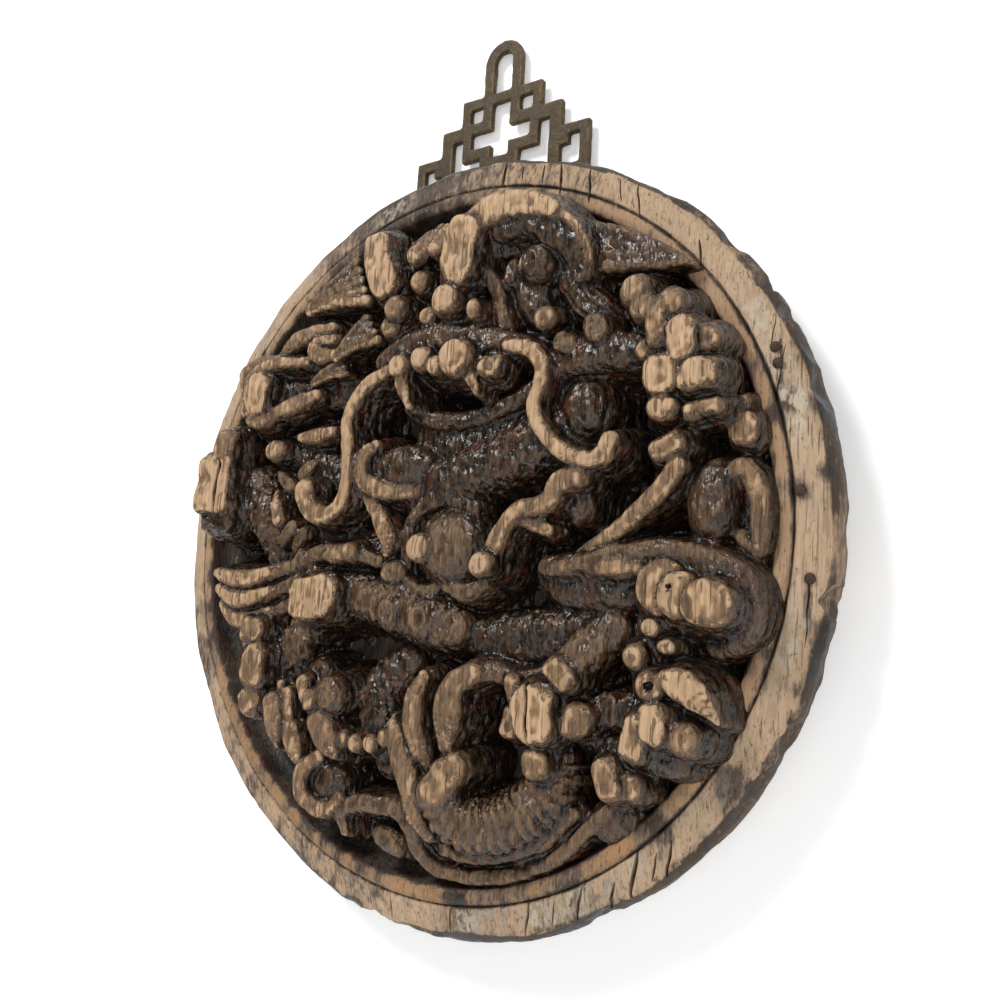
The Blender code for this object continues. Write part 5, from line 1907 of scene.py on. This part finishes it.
@dataclass
class Hanger:
    """The openwork bronze hanger: the model's own plate, softened as an old casting is."""

    voxel: float = 0.9
    soften: int = 5
    dent: float = 0.28

    def build(self, finish: bpy.types.Material) -> bpy.types.Object:
        """Makes the hanger.

        Args:
            finish: The bronze.

        Returns:
            The hanger's object.
        """
        source = bpy.data.objects["hanger"]
        cage = bmesh.new()
        cage.from_mesh(source.data)
        bmesh.ops.remove_doubles(cage, verts=cage.verts, dist=0.02 * MM)
        mesh = bpy.data.meshes.new("hanger")
        cage.to_mesh(mesh)
        cage.free()
        rough = stand("openwork_hanger", mesh)
        fuse = rough.modifiers.new("fuse", "REMESH")
        fuse.mode = "VOXEL"
        fuse.voxel_size = self.voxel * MM
        plain = settled(rough)
        bpy.data.objects.remove(rough)
        points = np.empty(len(plain.vertices) * 3)
        plain.vertices.foreach_get("co", points)
        points = points.reshape(-1, 3) / MM
        faces = np.array([tuple(face.vertices) for face in plain.polygons if len(face.vertices) == 4])
        edges = edges_of(faces)
        count = np.bincount(edges.ravel(), minlength=len(points))
        for _ in range(self.soften):
            points = points * 0.4 + neighbour_mean(points, edges, count) * 0.6
        normals = normals_of(points, faces)
        push = noise(points, (9, 9, 9), SEED + 30) + noise(points, (3, 3, 3), SEED + 31) * 0.6
        points = points + normals * (push * self.dent)[:, None]
        edge = ridges(points, faces, normals, 6)
        piece = mesh_piece("openwork_hanger", points * MM, faces, {"edge": edge}, finish)
        bpy.data.meshes.remove(plain)
        return piece


class NailSet:
    """A Geometry Nodes tree that sets a hand-made nail at each point, then makes one mesh."""

    def __init__(self, finish: bpy.types.Material) -> None:
        """Builds the tree, with the nail's sizes as named inputs.

        Args:
            finish: The iron.
        """
        self.tree = bpy.data.node_groups.new("set nails", "GeometryNodeTree")
        face = self.tree.interface
        self.inputs = {}
        face.new_socket("Geometry", in_out="INPUT", socket_type="NodeSocketGeometry")
        for name, value in (("Head width", 0.008), ("Crown", 0.0024), ("Shank width", 0.0032),
                            ("Length", 0.022), ("Facing", 1.0)):
            made = face.new_socket(name, in_out="INPUT", socket_type="NodeSocketFloat")
            made.default_value = value
            self.inputs[name] = made.identifier
        seed = face.new_socket("Seed", in_out="INPUT", socket_type="NodeSocketInt")
        seed.default_value = SEED
        self.inputs["Seed"] = seed.identifier
        face.new_socket("Geometry", in_out="OUTPUT", socket_type="NodeSocketGeometry")
        self._wire(finish)

    def _node(self, kind: str, values: dict[str | int, object] | None = None,
              **settings: object) -> bpy.types.Node:
        """Adds a node.

        Args:
            kind: Its type.
            values: Its inputs' own values, by name or number.
            settings: Its settings, which come first.

        Returns:
            The node.
        """
        node = self.tree.nodes.new(kind)
        for key, value in settings.items():
            setattr(node, key, value)
        for key, value in (values or {}).items():
            node.inputs[key].default_value = value
        return node

    def _wire(self, finish: bpy.types.Material) -> None:
        """Joins the nodes: a domed head and a shank, set at each point, dented, realised and dressed.

        Args:
            finish: The iron.
        """
        link = self.tree.links.new
        start = self._node("NodeGroupInput")
        end = self._node("NodeGroupOutput")
        ball = self._node("GeometryNodeMeshUVSphere", {"Segments": 28, "Rings": 14, "Radius": 0.5})
        head_size = self._node("ShaderNodeCombineXYZ")
        link(start.outputs["Head width"], head_size.inputs["X"])
        link(start.outputs["Head width"], head_size.inputs["Y"])
        link(start.outputs["Crown"], head_size.inputs["Z"])
        head = self._node("GeometryNodeTransform")
        link(ball.outputs["Mesh"], head.inputs["Geometry"])
        link(head_size.outputs["Vector"], head.inputs["Scale"])
        rod = self._node("GeometryNodeMeshCone",
                         {"Vertices": 12, "Radius Top": 0.15, "Radius Bottom": 0.5, "Depth": 1.0})
        shank_size = self._node("ShaderNodeCombineXYZ")
        link(start.outputs["Shank width"], shank_size.inputs["X"])
        link(start.outputs["Shank width"], shank_size.inputs["Y"])
        link(start.outputs["Length"], shank_size.inputs["Z"])
        shank = self._node("GeometryNodeTransform", {"Rotation": (math.pi, 0.0, 0.0)})
        link(rod.outputs["Mesh"], shank.inputs["Geometry"])
        link(shank_size.outputs["Vector"], shank.inputs["Scale"])
        whole = self._node("GeometryNodeJoinGeometry")
        link(head.outputs["Geometry"], whole.inputs["Geometry"])
        link(shank.outputs["Geometry"], whole.inputs["Geometry"])
        tilt = self._node("FunctionNodeRandomValue", {0: (-0.10, -0.10, -3.0), 1: (0.10, 0.10, 3.0)},
                          data_type="FLOAT_VECTOR")
        link(start.outputs["Seed"], tilt.inputs["Seed"])
        quarter = self._node("ShaderNodeMath", {1: math.pi / 2}, operation="MULTIPLY")
        link(start.outputs["Facing"], quarter.inputs[0])
        spin = self._node("FunctionNodeAxisAngleToRotation", {"Axis": (1.0, 0.0, 0.0)})
        link(quarter.outputs["Value"], spin.inputs["Angle"])
        own = self._node("FunctionNodeEulerToRotation")
        link(tilt.outputs["Value"], own.inputs["Euler"])
        both = self._node("FunctionNodeRotateRotation", rotation_space="LOCAL")
        link(spin.outputs["Rotation"], both.inputs["Rotation"])
        link(own.outputs["Rotation"], both.inputs["Rotate By"])
        place = self._node("GeometryNodeInstanceOnPoints")
        link(start.outputs["Geometry"], place.inputs["Points"])
        link(whole.outputs["Geometry"], place.inputs["Instance"])
        link(both.outputs["Rotation"], place.inputs["Rotation"])
        solid = self._node("GeometryNodeRealizeInstances")
        link(place.outputs["Instances"], solid.inputs["Geometry"])
        dent = self._node("ShaderNodeTexNoise", {"Scale": 420.0})
        centred = self._node("ShaderNodeVectorMath", {1: (0.0011,) * 3, 2: (-0.00055,) * 3},
                             operation="MULTIPLY_ADD")
        link(dent.outputs["Color"], centred.inputs[0])
        worn = self._node("GeometryNodeSetPosition")
        link(solid.outputs["Geometry"], worn.inputs["Geometry"])
        link(centred.outputs["Vector"], worn.inputs["Offset"])
        dressed = self._node("GeometryNodeSetMaterial", {"Material": finish})
        link(worn.outputs["Geometry"], dressed.inputs["Geometry"])
        link(dressed.outputs["Geometry"], end.inputs["Geometry"])

    def build(self, name: str, places: list[Vector], sizes: dict[str, float]) -> bpy.types.Object:
        """Sets one nail at each place.

        Args:
            name: The piece's name.
            places: Where the heads sit, in the part's frame.
            sizes: Values for the tree's named inputs.

        Returns:
            The nails as one plain mesh.
        """
        mesh = bpy.data.meshes.new(name)
        mesh.from_pydata(places, [], [])
        holder = stand(name, mesh)
        setter = holder.modifiers.new("nails", "NODES")
        setter.node_group = self.tree
        for key, value in sizes.items():
            setter[self.inputs[key]] = value
        made = settled(holder)
        holder.modifiers.clear()
        holder.data = made
        holder.data.shade_smooth()
        return holder


@dataclass
class Studio:
    """The pale wall and floor, the soft lights and the camera."""

    lens: float = 34.53
    yaw: float = 0.601
    pitch: float = 0.135
    roll: float = 0.058
    eye: tuple[float, float, float] = (430.1, -557.7, -70.9)
    wall_gap: float = 0.004

    def backdrop(self, finish: bpy.types.Material) -> bpy.types.Object:
        """Makes the wall behind the panel, which curves forward into a floor well below it.

        Args:
            finish: The wall's material.

        Returns:
            The backdrop.
        """
        wall = BACK_Y + self.wall_gap
        floor = -1.75
        bend = 0.5
        top = 2.6
        front = -4.2
        half = 3.4
        section = [(wall, top)]
        turns = [math.radians(degrees) for degrees in range(0, 91, 10)]
        section += [(wall - bend + bend * math.cos(turn), floor + bend - bend * math.sin(turn))
                    for turn in turns]
        section += [(front, floor)]
        mesh = bpy.data.meshes.new("backdrop")
        points = [(x, y, z) for y, z in section for x in (half, -half)]
        faces = [(2 * i, 2 * i + 1, 2 * i + 3, 2 * i + 2) for i in range(len(section) - 1)]
        mesh.from_pydata(points, [], faces)
        mesh.shade_smooth()
        mesh.materials.append(finish)
        return stand("backdrop", mesh)

    def camera(self) -> None:
        """Places the camera at the photograph's angle."""
        look = Vector((-math.sin(self.yaw) * math.cos(self.pitch),
                       math.cos(self.yaw) * math.cos(self.pitch), math.sin(self.pitch)))
        level = Vector((math.cos(self.yaw), math.sin(self.yaw), 0))
        upright = level.cross(look)
        right = level * math.cos(self.roll) + upright * math.sin(self.roll)
        up = upright * math.cos(self.roll) - level * math.sin(self.roll)
        lens = bpy.data.cameras.new("camera")
        lens.lens = self.lens
        lens.sensor_width = 36.0
        made = stand("camera", lens)
        turned = Matrix((right, up, -look)).transposed().to_4x4()
        x, y, z = self.eye
        made.matrix_world = Matrix.Translation((x * MM, FRONT_Y + y * MM, CENTRE_Z + z * MM)) @ turned
        bpy.context.scene.camera = made

    def light(self, name: str, place: Vector, aim: Vector, size: float, watts: float) -> None:
        """Adds one soft square light.

        Args:
            name: Its name.
            place: Where it is.
            aim: What it shines at.
            size: Its side, in metres.
            watts: Its power.
        """
        lamp = bpy.data.lights.new(name, "AREA")
        lamp.shape = "SQUARE"
        lamp.size = size
        lamp.energy = watts
        made = stand(name, lamp)
        made.matrix_world = (Matrix.Translation(place)
                             @ (aim - place).to_track_quat("-Z", "Y").to_matrix().to_4x4())

    def lights(self) -> None:
        """Adds the key light above to the left, the fill and the room's even light."""
        middle = spot(0, 0, 0)
        self.light("key", middle + Vector((-0.7, -1.7, 1.7)), middle, 0.75, 48)
        self.light("fill", middle + Vector((1.8, -2.2, 0.3)), middle, 1.8, 19)
        self.light("wash", middle + Vector((0.3, -2.4, -0.8)), middle, 2.0, 7)
        world = bpy.data.worlds.new("room")
        world.use_nodes = True
        world.node_tree.nodes["Background"].inputs["Color"].default_value = (1.0, 0.99, 0.975, 1.0)
        world.node_tree.nodes["Background"].inputs["Strength"].default_value = 0.16
        bpy.context.scene.world = world

    def view(self) -> None:
        """Keeps the colours as they are set."""
        bpy.context.scene.view_settings.view_transform = "Standard"
        bpy.context.scene.view_settings.look = "None"

    def build(self) -> None:
        """Sets the whole stage."""
        self.backdrop(PaleWall().material())
        self.camera()
        self.lights()
        self.view()


def hand_over(piece: bpy.types.Object, nodes: tuple[str, ...]) -> None:
    """Tells the frame what a piece rides on, hides the CAD nodes that it stands for and logs its triangles.

    Args:
        piece: The finished piece.
        nodes: The CAD nodes that it stands for.
    """
    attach(piece, "root")
    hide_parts(*nodes)
    triangles = sum(len(face.vertices) - 2 for face in piece.data.polygons)
    log.info("%s: %d triangles, stands for %s", piece.name, triangles, ", ".join(nodes))


def nail_spots(prefix: str) -> list[Vector]:
    """Finds the middle of each nail's head from the model's own nails.

    Args:
        prefix: How the nails' names start.

    Returns:
        One place for each nail.
    """
    found = []
    for name in sorted(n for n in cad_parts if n.startswith(prefix)):
        low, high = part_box(name)
        y = high.y if prefix.startswith("hanger") else low.y
        found.append(Vector(((low.x + high.x) / 2, y, (low.z + high.z) / 2)))
    return found


def main() -> None:
    """Builds the panel, sets it in the studio and reports each piece."""
    logging.basicConfig(level=logging.INFO, format="%(name)s: %(message)s")
    studio = Studio()
    studio.build()

    lacquer = WornLacquer().material()
    carving = Carving((Head(), Body(), Clouds(), Mane(), Forefeet(), Hindfeet()))
    for piece in carving.build(lacquer):
        hand_over(piece, ("carved_panel",))
    hand_over(Board().build(DryWood().material()), ("carved_panel",))
    hand_over(Hanger().build(AgedBronze().material()), ("hanger",))

    nails = NailSet(RustyIron().material())
    rim = nails.build("rim_nails", nail_spots("rim_nail"),
                      {"Head width": 0.0068, "Crown": 0.0034, "Shank width": 0.0032, "Length": 0.02,
                       "Facing": 1.0})
    hand_over(rim, tuple(sorted(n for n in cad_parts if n.startswith("rim_nail"))))
    back = nails.build("back_nails", nail_spots("hanger_nail"),
                       {"Head width": 0.010, "Crown": 0.0030, "Shank width": 0.004, "Length": 0.024,
                        "Facing": -1.0})
    hand_over(back, tuple(sorted(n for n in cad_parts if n.startswith("hanger_nail"))))


if __name__ == "__main__":
    main()
